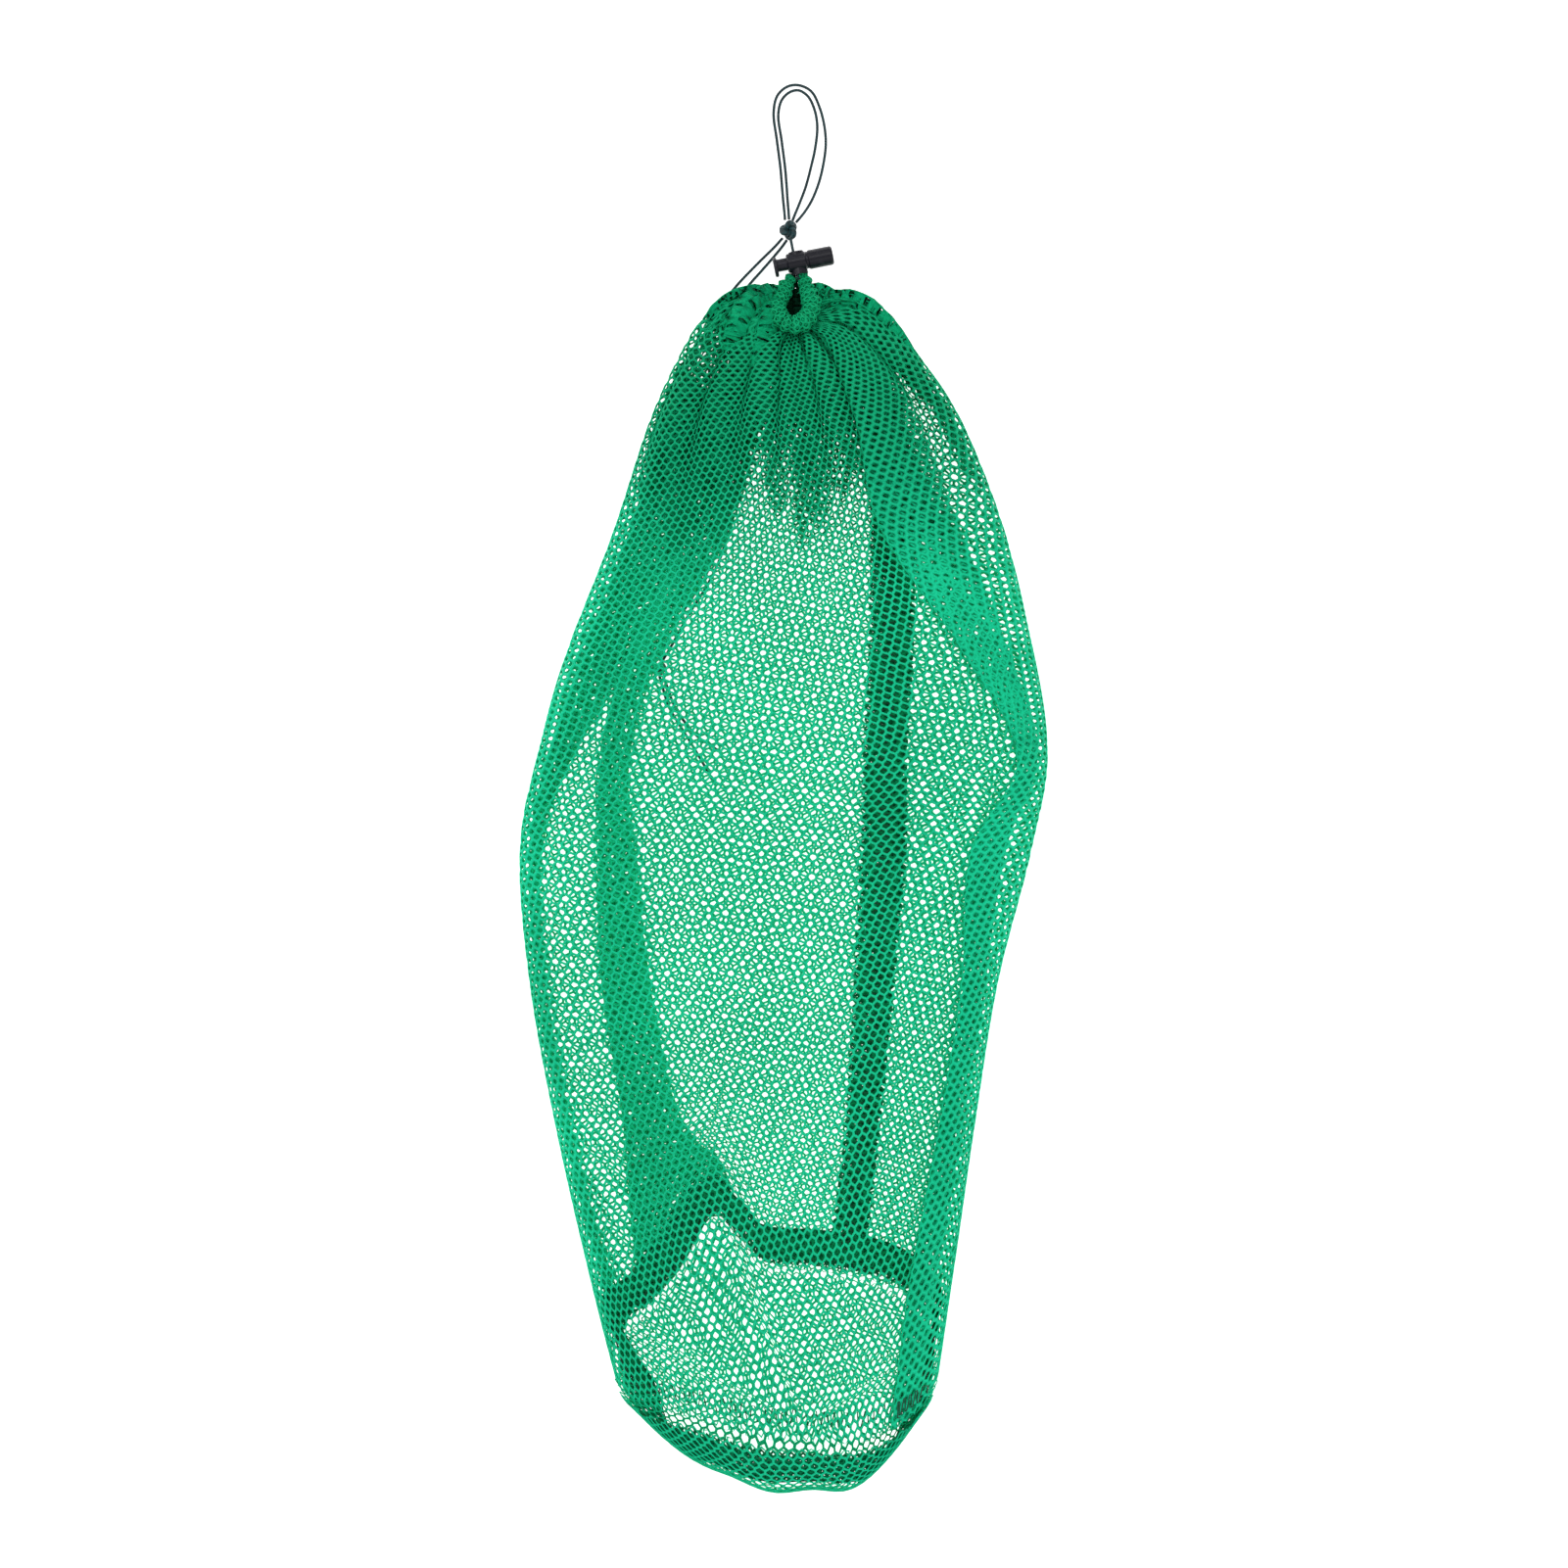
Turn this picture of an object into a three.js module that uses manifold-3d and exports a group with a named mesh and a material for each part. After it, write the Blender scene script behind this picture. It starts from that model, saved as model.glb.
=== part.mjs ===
// Drawstring mesh bag with a round bottom, a barrel cord lock and a knotted hanging loop.
// Millimetres. The bag lies on its back: +Y runs from its bottom to its mouth, +Z is up.
import * as THREE from 'three';
import { mergeVertices } from 'three/addons/utils/BufferGeometryUtils.js';
import Module from 'manifold-3d';

// ---- Driving dimensions ----
const BAG_WIDTH = 219.8;         // across the widest place, as the bag lies
const BAG_LENGTH = 437.6;        // along a flank, from the mouth to the bottom seam
const BAG_HEIGHT = 30;           // at its thickest
const GAP = 0.3;                 // clearance between pieces that touch
const SEAM_GAP = 0.5;            // clearance between the layers of a seam
const NET = 1.5;                 // thickness of one layer of netting
const SQUARENESS = 0.25;         // how full the flattened cross-section is
const CORD_ROOM = 3.6;           // how far the bag rides up over the cords under it

const NECK_END = 0.29;           // where the gathered neck of the netting runs into the wall
const SEAM_WIDTH = 14.5;         // doubled netting along the side seam
const RING_WIDTH = 15;           // doubled netting round the bottom seam
const BAND = 1.2;                // thickness of both doubled bands
const THREAD = 0.6;              // sewing thread

const CASING_DIAMETER = 6;       // gathered hem round the mouth
const CASING_BORE = 3.0;         // tunnel that the drawcord runs in
const CORD_DIAMETER = 1.2;

const PANEL_BULGE = 24;          // how far the bottom panel swells past its seam

const LOCK_TILT = 11;            // degrees, closed end of the barrel high
const LOCK_SITE = [4.7, 253, 5.75]; // middle of the lock's cord hole
const KNOT_REACH = 14;           // from the lock's cord hole to the middle of the knot above it
const PRESS_TRAVEL = 2.0;        // plunger travel from clamped to holes in line
const BARREL_DIAMETER = 8.1;
const BARREL_LENGTH = 19.6;
const STEM_DIAMETER = 5.3;
const STEM_SHOWING = 4.2;        // stem between the barrel's mouth and the push flange
const HOLE_DIAMETER = 4;         // cord hole through the barrel and the stem
const FLANGE_DIAMETER = 8.3;
const FLANGE_THICKNESS = 1.5;
const SPRING_DIAMETER = 3.7;
const SPRING_WIRE = 0.5;
const SPRING_TURNS = 6;

const TOP_KNOT = [8.2, 8.6, 6.6];   // width, length, height
const END_KNOT = [5.0, 5.6, 3.0];

// The bag's shape from mouth to bottom seam: y of the flanks, of the upper layer's middle and
// of the lower layer's middle, then left and right edge, and top and bottom height. The three
// overall sizes stretch it, all but its neck.
const OUTLINE = [
  { y: 232.6, front: 225.2, back: 240.0, left: -2.4, right: 11.2, top: 8.6, bottom: 1.9 },
  { y: 233.5, front: 220.5, back: 240.0, left: -16.5, right: 29.5, top: 12, bottom: 0.4 },
  { y: 226.5, front: 213.0, back: 233.0, left: -33, right: 42.5, top: 16, bottom: -1.2 },
  { y: 211.0, front: 202.0, back: 216.0, left: -43, right: 56.5, top: 20, bottom: -1.6 },
  { y: 185.0, front: 182.0, back: 186.0, left: -55, right: 73.0, top: 24, bottom: -1.8 },
  { y: 140.0, front: 140.0, back: 140.0, left: -70.5, right: 91.5, top: 27, bottom: -1.8 },
  { y: 90.0, front: 90.0, back: 90.0, left: -90, right: 105.0, top: 29, bottom: -1.8 },
  { y: 45.0, front: 45.0, back: 45.0, left: -103.5, right: 109.8, top: 30, bottom: -1.8 },
  { y: 5.0, front: 5.0, back: 5.0, left: -110, right: 101.5, top: 30, bottom: -1.8 },
  { y: -50.0, front: -50.0, back: -50.0, left: -105, right: 88.0, top: 30, bottom: -1.8 },
  { y: -110.0, front: -115.0, back: -104.0, left: -95, right: 78.5, top: 29, bottom: -1.8 },
  { y: -165.0, front: -183.0, back: -145.0, left: -82.5, right: 71.0, top: 28, bottom: -1.8 },
  { y: -205.0, front: -239.0, back: -171.0, left: -71.5, right: 65.0, top: 26, bottom: -1.6 },
];
const PANEL_MIDDLE = [11.25, -31]; // where the bottom panel's middle lies, from the end of the flanks

// Where the side seam crosses the lower layer, from mouth to bottom seam.
const SEAM_LINE = [14, 27, 35, 40, 42, 43, 44.5, 43, 41, 37.5, 33, 27.5, 22];

// ---- Cord routes ----
// Round the mouth inside the hem, from the right-hand end of the casing to the left-hand end.
const MOUTH_ROUTE = [
  [8.6, 244.0, 4.9], [9.8, 241.0, 5.9], [11.4, 236.8, 7.8], [11.0, 231.6, 10.1],
  [7.9, 227.4, 12.0], [3.8, 226.0, 12.7], [-0.4, 227.6, 12.0], [-2.7, 231.8, 10.0],
  [-2.2, 236.8, 7.8], [-0.2, 241.0, 5.9], [1.2, 244.0, 4.9],
];
const LOOP_OUTER = [
  [0.4, 271.3, 3.4], [0.1, 275.0, 2.2], [-0.4, 280.0, 0.9], [-0.9, 286.0, 0.65],
  [-1.5, 293.2, 0.65], [-3.0, 305, 0.65], [-4.4, 316.9, 0.65], [-2.8, 324.0, 0.65],
  [1.4, 327.8, 0.65], [6.2, 328.4, 0.65], [11.5, 325.8, 0.65], [15.0, 319.0, 0.65],
  [17.1, 310.6, 0.65], [17.6, 303.2, 0.65], [16.6, 295.2, 0.65], [14.6, 287.0, 0.65],
  [11.6, 279.6, 0.8], [8.3, 274.2, 1.9], [5.1, 270.2, 3.0],
];
const LOOP_INNER = [
  [2.1, 271.5, 3.4], [1.9, 275.0, 2.2], [1.5, 280.0, 0.9], [1.1, 286.0, 0.65],
  [0.5, 293.2, 0.65], [-1.0, 305, 0.65], [-2.4, 316.0, 0.65], [-0.9, 322.2, 0.65],
  [2.5, 325.5, 0.65], [6.2, 326.2, 0.65], [10.0, 323.8, 0.65], [12.8, 318.2, 0.65],
  [14.0, 311.2, 0.65], [13.2, 302.2, 0.65], [11.4, 294.0, 0.65], [9.1, 285.4, 0.7],
  [6.5, 278.4, 1.2], [4.9, 274.4, 2.1], [3.6, 271.0, 2.9],
];
const TAIL_LEFT = [
  [-0.6, 263.8, 1.8], [-3.6, 260.6, 0.8], [-11.7, 252.6, 0.65], [-20.3, 243.5, 0.65],
  [-26.4, 235.3, 0.65], [-30.4, 226.0, 0.65], [-31.6, 212.0, 0.65], [-30.4, 192.0, 0.65],
  [-28.0, 170.0, 0.65], [-26.1, 151.0, 0.65], [-27.3, 136.0, 0.65], [-33.3, 121.2, 0.65],
  [-42.5, 106.4, 0.65], [-50.0, 92.4, 0.65], [-52.9, 85.9, 1.2],
];
const TAIL_RIGHT = [
  [1.2, 262.9, 2.0], [-0.8, 260.3, 0.8], [-4.7, 255.6, 0.65], [-9.6, 250.0, 0.65],
  [-15.2, 243.6, 0.65], [-20.4, 236.0, 0.65], [-25.0, 226.6, 0.65], [-28.4, 212.0, 0.65],
  [-28.2, 192.0, 0.65], [-25.8, 170.0, 0.65], [-23.8, 151.0, 0.65], [-24.9, 135.2, 0.65],
  [-31.3, 119.5, 0.65], [-40.4, 104.8, 0.65], [-47.8, 91.4, 0.65], [-51.2, 85.7, 1.2],
];
const END_LEFT = [
  [-52.5, 79.3, 1.2], [-50.9, 73.5, 0.65], [-48.4, 66.0, 0.65], [-44.0, 58.6, 0.65],
  [-38.6, 50.0, 0.65], [-33.6, 41.6, 0.65], [-29.7, 34.4, 0.65],
];
const END_RIGHT = [
  [-51.0, 79.3, 1.2], [-48.8, 73.6, 0.65], [-46.2, 66.6, 0.65], [-41.6, 59.6, 0.65],
  [-36.6, 54.0, 0.65], [-31.6, 50.4, 0.65], [-26.9, 47.4, 0.65],
];

// ---- Colours ----
const netGreen = new THREE.MeshStandardMaterial({ color: 0x17a873, roughness: 0.55, metalness: 0 });
const bandGreen = new THREE.MeshStandardMaterial({ color: 0x0f8a58, roughness: 0.6, metalness: 0 });
const threadGreen = new THREE.MeshStandardMaterial({ color: 0x0b5c3b, roughness: 0.6, metalness: 0 });
const cordTeal = new THREE.MeshStandardMaterial({ color: 0x123c44, roughness: 0.7, metalness: 0 });
const lockBlack = new THREE.MeshStandardMaterial({ color: 0x1b1b26, roughness: 0.35, metalness: 0 });
const springSteel = new THREE.MeshStandardMaterial({ color: 0xb8bcc0, roughness: 0.3, metalness: 1 });

const group = new THREE.Group();

function addPiece(name, geometry, material, parent = group) {
  const mesh = new THREE.Mesh(geometry, material);
  mesh.name = name;
  parent.add(mesh);
  return mesh;
}

// ---- The surface of the lying bag ----

// One value of the outline, smooth between its rows; along runs from 0 (mouth) to 1 (bottom seam).
function outlineValue(values, along) {
  const last = values.length - 1;
  const place = THREE.MathUtils.clamp(along, 0, 1) * last;
  const row = Math.min(Math.floor(place), last - 1);
  const share = place - row;
  const before = values[Math.max(row - 1, 0)];
  const after = values[Math.min(row + 2, last)];
  const slopeIn = (values[row + 1] - before) / 2;
  const slopeOut = (after - values[row]) / 2;
  const square = share * share;
  const cube = square * share;
  return (2 * cube - 3 * square + 1) * values[row]
    + (cube - 2 * square + share) * slopeIn
    + (3 * square - 2 * cube) * values[row + 1]
    + (cube - square) * slopeOut;
}

const columns = {};
for (const key of ['y', 'front', 'back', 'left', 'right', 'top', 'bottom']) {
  columns[key] = OUTLINE.map((row) => row[key]);
}
const mouthY = columns.y[0];
const stretch = {
  width: BAG_WIDTH / (Math.max(...columns.right) - Math.min(...columns.left)),
  length: BAG_LENGTH / (mouthY - columns.y[columns.y.length - 1]),
  height: BAG_HEIGHT / Math.max(...columns.top),
};

// A value of the outline at the bag's real size; the neck keeps fitting the hem.
function sized(key, along, scale, from = 0) {
  const share = THREE.MathUtils.smoothstep(along, 0.08, 0.3);
  return from + (outlineValue(columns[key], along) - from) * (1 + (scale - 1) * share);
}

// The lower layer rides over the cords that lie under the bag's upper left part.
function cordRoom(x, y) {
  const across = 1 - THREE.MathUtils.smoothstep(x, -15, 0);
  return CORD_ROOM * across * THREE.MathUtils.smoothstep(y, 8, 28);
}

// A point on the outside of the wall. Angle 0 is the right edge and a quarter turn is the top.
function wallPoint(angle, along) {
  const left = sized('left', along, stretch.width);
  const right = sized('right', along, stretch.width);
  const top = sized('top', along, stretch.height);
  const bottom = outlineValue(columns.bottom, along);
  const fullness = SQUARENESS * Math.min(1, along * 8);
  const c = Math.cos(angle);
  const s = Math.sin(angle);
  const x = (left + right) / 2 + (right - left) / 2 * c * (1 + fullness * s * s);
  const flank = sized('y', along, stretch.length, mouthY);
  const front = sized('front', along, stretch.length, mouthY);
  const back = sized('back', along, stretch.length, mouthY);
  const y = flank + (front - back) / 2 * s + ((front + back) / 2 - flank) * s * s;
  const lying = Math.max(0, (top + bottom) / 2 + (top - bottom) / 2 * s * (1 + fullness * c * c));
  return new THREE.Vector3(x, y, lying + cordRoom(x, y) * (1 - s) / 2);
}

// A point on the outside of the bottom panel, for a place on the flat disc of radius 1.
function panelPoint(px, py) {
  const reach = Math.hypot(px, py);
  const angle = Math.atan2(py, px);
  const rim = wallPoint(angle, 1);
  rim.y -= GAP + 2.2 * NET * Math.min(1, 2 + 2 * Math.sin(angle));
  const flanks = wallPoint(0, 1).add(wallPoint(Math.PI, 1)).multiplyScalar(0.5);
  const middle = new THREE.Vector3(flanks.x + PANEL_MIDDLE[0], flanks.y + PANEL_MIDDLE[1], 0);
  const point = middle.lerp(rim, reach);
  const swell = PANEL_BULGE * 4 * reach * (1 - reach) * (0.3 + 0.7 * Math.max(0, Math.sin(angle)));
  const upper = Math.max(0, Math.sin(angle) + 0.35);
  point.y -= swell * Math.min(1, upper);
  point.x += 0.15 * swell * Math.cos(angle);
  return point;
}

// Moves a point of a surface inwards by depth, square to the surface.
function sink(surface, a, b, stepA, stepB, depth) {
  const alongA = surface(a + stepA, b).sub(surface(a - stepA, b));
  const alongB = surface(a, b + stepB).sub(surface(a, b - stepB));
  const inwards = alongB.cross(alongA).normalize();
  return surface(a, b).addScaledVector(inwards, depth);
}

const ANGLE_STEP = 0.02;
const ALONG_STEP = 0.004;

function insideWall(angle, along, depth) {
  // At the two rims the neighbour on the bag's side is enough to find the direction.
  const safe = THREE.MathUtils.clamp(along, ALONG_STEP, 1 - ALONG_STEP);
  const moved = sink(wallPoint, angle, safe, ANGLE_STEP, ALONG_STEP, depth).sub(wallPoint(angle, safe));
  return wallPoint(angle, along).add(moved);
}

function insidePanel(px, py, depth) {
  const reach = Math.hypot(px, py);
  const scale = Math.min(1, 0.97 / Math.max(reach, 0.01));
  const at = [px * scale, py * scale];
  const moved = sink(panelPoint, at[0], at[1], ANGLE_STEP, ANGLE_STEP, depth).sub(panelPoint(...at));
  return panelPoint(px, py).add(moved);
}

// The angle at which the lower layer has the given x.
function lowerAngle(x, along) {
  let low = -Math.PI;
  let high = 0;
  for (let i = 0; i < 40; i += 1) {
    const middle = (low + high) / 2;
    if (wallPoint(middle, along).x < x) {
      low = middle;
    } else {
      high = middle;
    }
  }
  return (low + high) / 2;
}

// Gives each vertex of a geometry a new place, with its doubled vertices joined first.
function reshape(geometry, place) {
  geometry.deleteAttribute('normal');
  geometry.deleteAttribute('uv');
  const merged = mergeVertices(geometry, 1e-4);
  const position = merged.attributes.position;
  for (let i = 0; i < position.count; i += 1) {
    const moved = place(new THREE.Vector3().fromBufferAttribute(position, i));
    position.setXYZ(i, moved.x, moved.y, moved.z);
  }
  merged.computeVertexNormals();
  return merged;
}

// A closed ring round the bag, between two places along it and two depths under its outside.
function ringInWall(start, end, shallow, deep, steps, segments) {
  const RADIUS = 100;
  const profile = [];
  for (let i = 0; i <= steps; i += 1) {
    profile.push(new THREE.Vector2(RADIUS - shallow, start + (end - start) * i / steps));
  }
  for (let i = steps; i >= 0; i -= 1) {
    profile.push(new THREE.Vector2(RADIUS - deep, start + (end - start) * i / steps));
  }
  profile.push(profile[0].clone());
  const ring = new THREE.LatheGeometry(profile, segments);
  return reshape(ring, (p) => insideWall(Math.atan2(p.x, p.z), p.y, RADIUS - Math.hypot(p.x, p.z)));
}

// ---- Netting and seams ----
const AROUND = 36;

const ringShare = RING_WIDTH / BAG_LENGTH;
const ringStart = 1 - ringShare;
const bandDepth = NET + SEAM_GAP;
const threadDepth = bandDepth + BAND + SEAM_GAP;

function makeNeck() {
  return ringInWall(0, NECK_END, 0, NET, 10, AROUND);
}

function makeWall() {
  return ringInWall(NECK_END + GAP / BAG_LENGTH, 1, 0, NET, 24, AROUND);
}

function makeBottomPanel() {
  const profile = [];
  const rings = 8;
  for (let i = 0; i <= rings; i += 1) {
    profile.push(new THREE.Vector2(i / rings, NET));
  }
  for (let i = rings; i >= 0; i -= 1) {
    profile.push(new THREE.Vector2(i / rings, 0));
  }
  const disc = new THREE.LatheGeometry(profile, AROUND);
  return reshape(disc, (p) => insidePanel(p.z, p.x, p.y));
}

function makeBottomSeamBand() {
  return ringInWall(ringStart, 1 - NET / BAG_LENGTH, bandDepth, bandDepth + BAND, 2, AROUND);
}

function makeBottomSeamThread() {
  const middle = 1 - ringShare / 2;
  const half = THREAD / 2 / BAG_LENGTH;
  return ringInWall(middle - half, middle + half, threadDepth, threadDepth + THREAD, 1, AROUND);
}

// A strip of the side seam, laid on the inside of the lower layer.
const SEAM_START = 0.2;          // below the gathers
const seamEnd = ringStart - SEAM_GAP / BAG_LENGTH;

function seamStrip(width, thickness, depth, offset, steps) {
  const strip = new THREE.BoxGeometry(width, 1, thickness, 2, steps, 1);
  return reshape(strip, (p) => {
    const along = SEAM_START + (seamEnd - SEAM_START) * (0.5 - p.y);
    const x = outlineValue(SEAM_LINE, along) + offset + p.x;
    return insideWall(lowerAngle(x, along), along, depth + thickness / 2 + p.z);
  });
}

function makeSideSeamBand() {
  return seamStrip(SEAM_WIDTH, BAND, bandDepth, 0, 30);
}

function makeSideSeamThread() {
  return seamStrip(THREAD, THREAD, threadDepth, 0, 30);
}

// ---- Cords ----
function circle(diameter, sides) {
  const points = [];
  for (let i = 0; i < sides; i += 1) {
    const angle = (i + 0.5) / sides * 2 * Math.PI;
    points.push(new THREE.Vector2(Math.cos(angle), Math.sin(angle)).multiplyScalar(diameter / 2));
  }
  return points;
}

function routeCurve(points) {
  return new THREE.CatmullRomCurve3(points.map((p) => new THREE.Vector3(...p)), false, 'centripetal');
}

function cordAlong(points, stepsPerDiameter = 1 / 2.6) {
  const curve = routeCurve(points);
  const steps = Math.ceil(curve.getLength() / CORD_DIAMETER * stepsPerDiameter);
  const section = new THREE.Shape(circle(CORD_DIAMETER, 8));
  return new THREE.ExtrudeGeometry(section, { extrudePath: curve, steps, bevelEnabled: false });
}

// ---- Lock frame: local x along the barrel, local y along the cord hole ----
const tilt = THREE.MathUtils.degToRad(LOCK_TILT);
const alongCord = new THREE.Vector3(-Math.sin(tilt), Math.cos(tilt), 0);
const lockSite = new THREE.Vector3(...LOCK_SITE);
const lift = (CORD_DIAMETER + 0.1) / 2; // the two runs lie one above the other in the lock

function besideLock(distance, height) {
  const point = lockSite.clone().addScaledVector(alongCord, distance);
  return [point.x, point.y, point.z + height];
}

const collarBelow = BARREL_DIAMETER / 2 + 1.3;
const collarAbove = BARREL_DIAMETER / 2 + 0.35;
const crossing = collarBelow + 1.1; // below it the two runs part, each to its end of the casing
const knotStart = KNOT_REACH - TOP_KNOT[1] / 2;
const knotMiddle = besideLock(KNOT_REACH, 0);
knotMiddle[2] = TOP_KNOT[2] / 2 + 0.9;

// Where a run that comes in at a height meets the top knot's round face.
function knotFace(height) {
  const rise = Math.abs(LOCK_SITE[2] + height - knotMiddle[2]) - CORD_DIAMETER / 2;
  const share = THREE.MathUtils.clamp(rise / (TOP_KNOT[2] / 2), 0, 1);
  return knotStart + TOP_KNOT[1] / 2 * (1 - Math.sqrt(1 - share * share)) - GAP;
}

function runThroughLock(height) {
  const reach = knotFace(height);
  return [reach, reach - 1.5, 5, 2.5, 0, -2.5, -5, -crossing].map((at) => besideLock(at, height));
}

function makeDrawcord() {
  return cordAlong([...runThroughLock(lift), ...MOUTH_ROUTE, ...runThroughLock(-lift).reverse()]);
}

function makeHem() {
  const outer = new THREE.Shape(circle(CASING_DIAMETER, 10));
  outer.holes.push(new THREE.Path(circle(CASING_BORE, 8)));
  return new THREE.ExtrudeGeometry(outer, { extrudePath: routeCurve(MOUTH_ROUTE), steps: 30, bevelEnabled: false });
}

function makeKnot(size, middle) {
  const knot = new THREE.SphereGeometry(0.5, 16, 10);
  knot.scale(...size);
  knot.translate(...middle);
  return knot;
}

const endKnotMiddle = [-52.0, 82.5, END_KNOT[2] / 2 + 0.05];

// ---- Cord lock ----
const wasm = await Module();
wasm.setup();

function toSolid(geometry) {
  const bare = geometry.clone();
  bare.deleteAttribute('normal');
  bare.deleteAttribute('uv');
  const merged = mergeVertices(bare, 1e-5);
  return new wasm.Manifold(new wasm.Mesh({
    numProp: 3,
    vertProperties: new Float32Array(merged.attributes.position.array),
    triVerts: new Uint32Array(merged.index.array),
  }));
}

function toGeometry(solid) {
  const mesh = solid.getMesh();
  const geometry = new THREE.BufferGeometry();
  geometry.setAttribute('position', new THREE.BufferAttribute(mesh.vertProperties, 3));
  geometry.setIndex(new THREE.BufferAttribute(mesh.triVerts, 1));
  geometry.computeVertexNormals();
  return geometry;
}

// A turned piece along local x, from pairs of place and radius that start and end on the axis.
function turned(outline, segments = 28) {
  const lathe = new THREE.LatheGeometry(outline.map(([x, r]) => new THREE.Vector2(r, x)), segments);
  return lathe.rotateZ(-Math.PI / 2);
}

const pinch = PRESS_TRAVEL / 2;  // the two holes stand this far either side of the cord at rest
const barrelMouth = pinch - HOLE_DIAMETER / 2 - 2.45;
const barrelEnd = barrelMouth + BARREL_LENGTH;
const boreDiameter = STEM_DIAMETER + 2 * GAP;
const boreEnd = barrelEnd - 1.8;
const flangeInside = barrelMouth - STEM_SHOWING;
const springBore = SPRING_DIAMETER + 2 * GAP;
const stemSeat = HOLE_DIAMETER / 2 - pinch + 0.8;
const stemEnd = stemSeat + 6;
const springStart = stemSeat + PRESS_TRAVEL + GAP;
const springEnd = boreEnd - GAP;

function holeAcross(x) {
  const hole = new THREE.CylinderGeometry(HOLE_DIAMETER / 2, HOLE_DIAMETER / 2, 4 * BARREL_DIAMETER, 24);
  hole.translate(x, 0, 0);
  return toSolid(hole);
}

function makeBarrel() {
  const r = BARREL_DIAMETER / 2;
  const chamfer = 0.5;
  const grooveAt = pinch + HOLE_DIAMETER / 2 + 1.2;
  const groove = 0.45;
  const outside = toSolid(turned([
    [barrelMouth, 0], [barrelMouth, r - chamfer], [barrelMouth + chamfer, r], [grooveAt, r],
    [grooveAt + 0.5, r - groove], [grooveAt + 1.3, r - groove], [grooveAt + 1.8, r],
    [barrelEnd - 0.9, r], [barrelEnd - 0.25, r - 0.3], [barrelEnd, r - 1], [barrelEnd, 0],
  ]));
  const collar = new THREE.CylinderGeometry(3.1, 3.6, collarAbove + collarBelow, 24);
  collar.scale(1, 1, 0.85);
  collar.translate(pinch, (collarAbove - collarBelow) / 2, 0);
  const bore = toSolid(turned([
    [barrelMouth - 1, 0], [barrelMouth - 1, boreDiameter / 2], [boreEnd, boreDiameter / 2], [boreEnd, 0],
  ]));
  return toGeometry(outside.add(toSolid(collar)).subtract(bore).subtract(holeAcross(pinch)));
}

function makePlunger() {
  const r = STEM_DIAMETER / 2;
  const flange = turned([
    [-FLANGE_THICKNESS, 0], [-FLANGE_THICKNESS, FLANGE_DIAMETER / 2 - 0.4],
    [-FLANGE_THICKNESS + 0.4, FLANGE_DIAMETER / 2], [-0.3, FLANGE_DIAMETER / 2],
    [0, FLANGE_DIAMETER / 2 - 0.3], [0, 0],
  ]);
  flange.translate(flangeInside, -0.55, 0);
  const stem = turned([
    [flangeInside - FLANGE_THICKNESS / 2, 0], [flangeInside - FLANGE_THICKNESS / 2, r],
    [stemEnd - 0.3, r], [stemEnd, r - 0.2], [stemEnd, 0],
  ]);
  const seat = turned([
    [stemSeat, 0], [stemSeat, springBore / 2], [stemEnd + 1, springBore / 2], [stemEnd + 1, 0],
  ]);
  const whole = toSolid(flange).add(toSolid(stem));
  return toGeometry(whole.subtract(toSolid(seat)).subtract(holeAcross(-pinch)));
}

class Helix extends THREE.Curve {
  constructor(radius, start, end, turns) {
    super();
    Object.assign(this, { radius, start, end, turns });
  }

  getPoint(share, target = new THREE.Vector3()) {
    const angle = share * this.turns * 2 * Math.PI;
    const x = THREE.MathUtils.lerp(this.start, this.end, share);
    return target.set(x, this.radius * Math.cos(angle), this.radius * Math.sin(angle));
  }
}

function makeSpring() {
  const radius = (SPRING_DIAMETER - SPRING_WIRE) / 2;
  const wire = SPRING_WIRE / 2;
  const path = new Helix(radius, springStart + wire, springEnd - wire, SPRING_TURNS);
  const section = new THREE.Shape(circle(SPRING_WIRE, 6));
  return new THREE.ExtrudeGeometry(section, { extrudePath: path, steps: SPRING_TURNS * 12, bevelEnabled: false });
}

// ---- Assembly ----
addPiece('net_neck', makeNeck(), netGreen);
addPiece('net_wall', makeWall(), netGreen);
addPiece('bottom_panel', makeBottomPanel(), netGreen);
addPiece('bottom_seam_band', makeBottomSeamBand(), bandGreen);
addPiece('bottom_seam_thread', makeBottomSeamThread(), threadGreen);
addPiece('side_seam_band', makeSideSeamBand(), bandGreen);
addPiece('side_seam_thread', makeSideSeamThread(), threadGreen);
addPiece('mouth_hem', makeHem(), bandGreen);

addPiece('drawcord', makeDrawcord(), cordTeal);
addPiece('top_knot', makeKnot(TOP_KNOT, knotMiddle), cordTeal);
addPiece('loop_cord_outer', cordAlong(LOOP_OUTER), cordTeal);
addPiece('loop_cord_inner', cordAlong(LOOP_INNER), cordTeal);
addPiece('tail_cord_left', cordAlong(TAIL_LEFT, 1 / 5), cordTeal);
addPiece('tail_cord_right', cordAlong(TAIL_RIGHT, 1 / 5), cordTeal);
addPiece('end_knot', makeKnot(END_KNOT, endKnotMiddle), cordTeal);
addPiece('cord_end_left', cordAlong(END_LEFT), cordTeal);
addPiece('cord_end_right', cordAlong(END_RIGHT), cordTeal);

const lock = new THREE.Group();
lock.position.copy(lockSite);
lock.rotation.z = tilt;
group.add(lock);
addPiece('lock_barrel', makeBarrel(), lockBlack, lock);
addPiece('lock_plunger', makePlunger(), lockBlack, lock);
addPiece('lock_spring', makeSpring(), springSteel, lock);

export default group;
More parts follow.
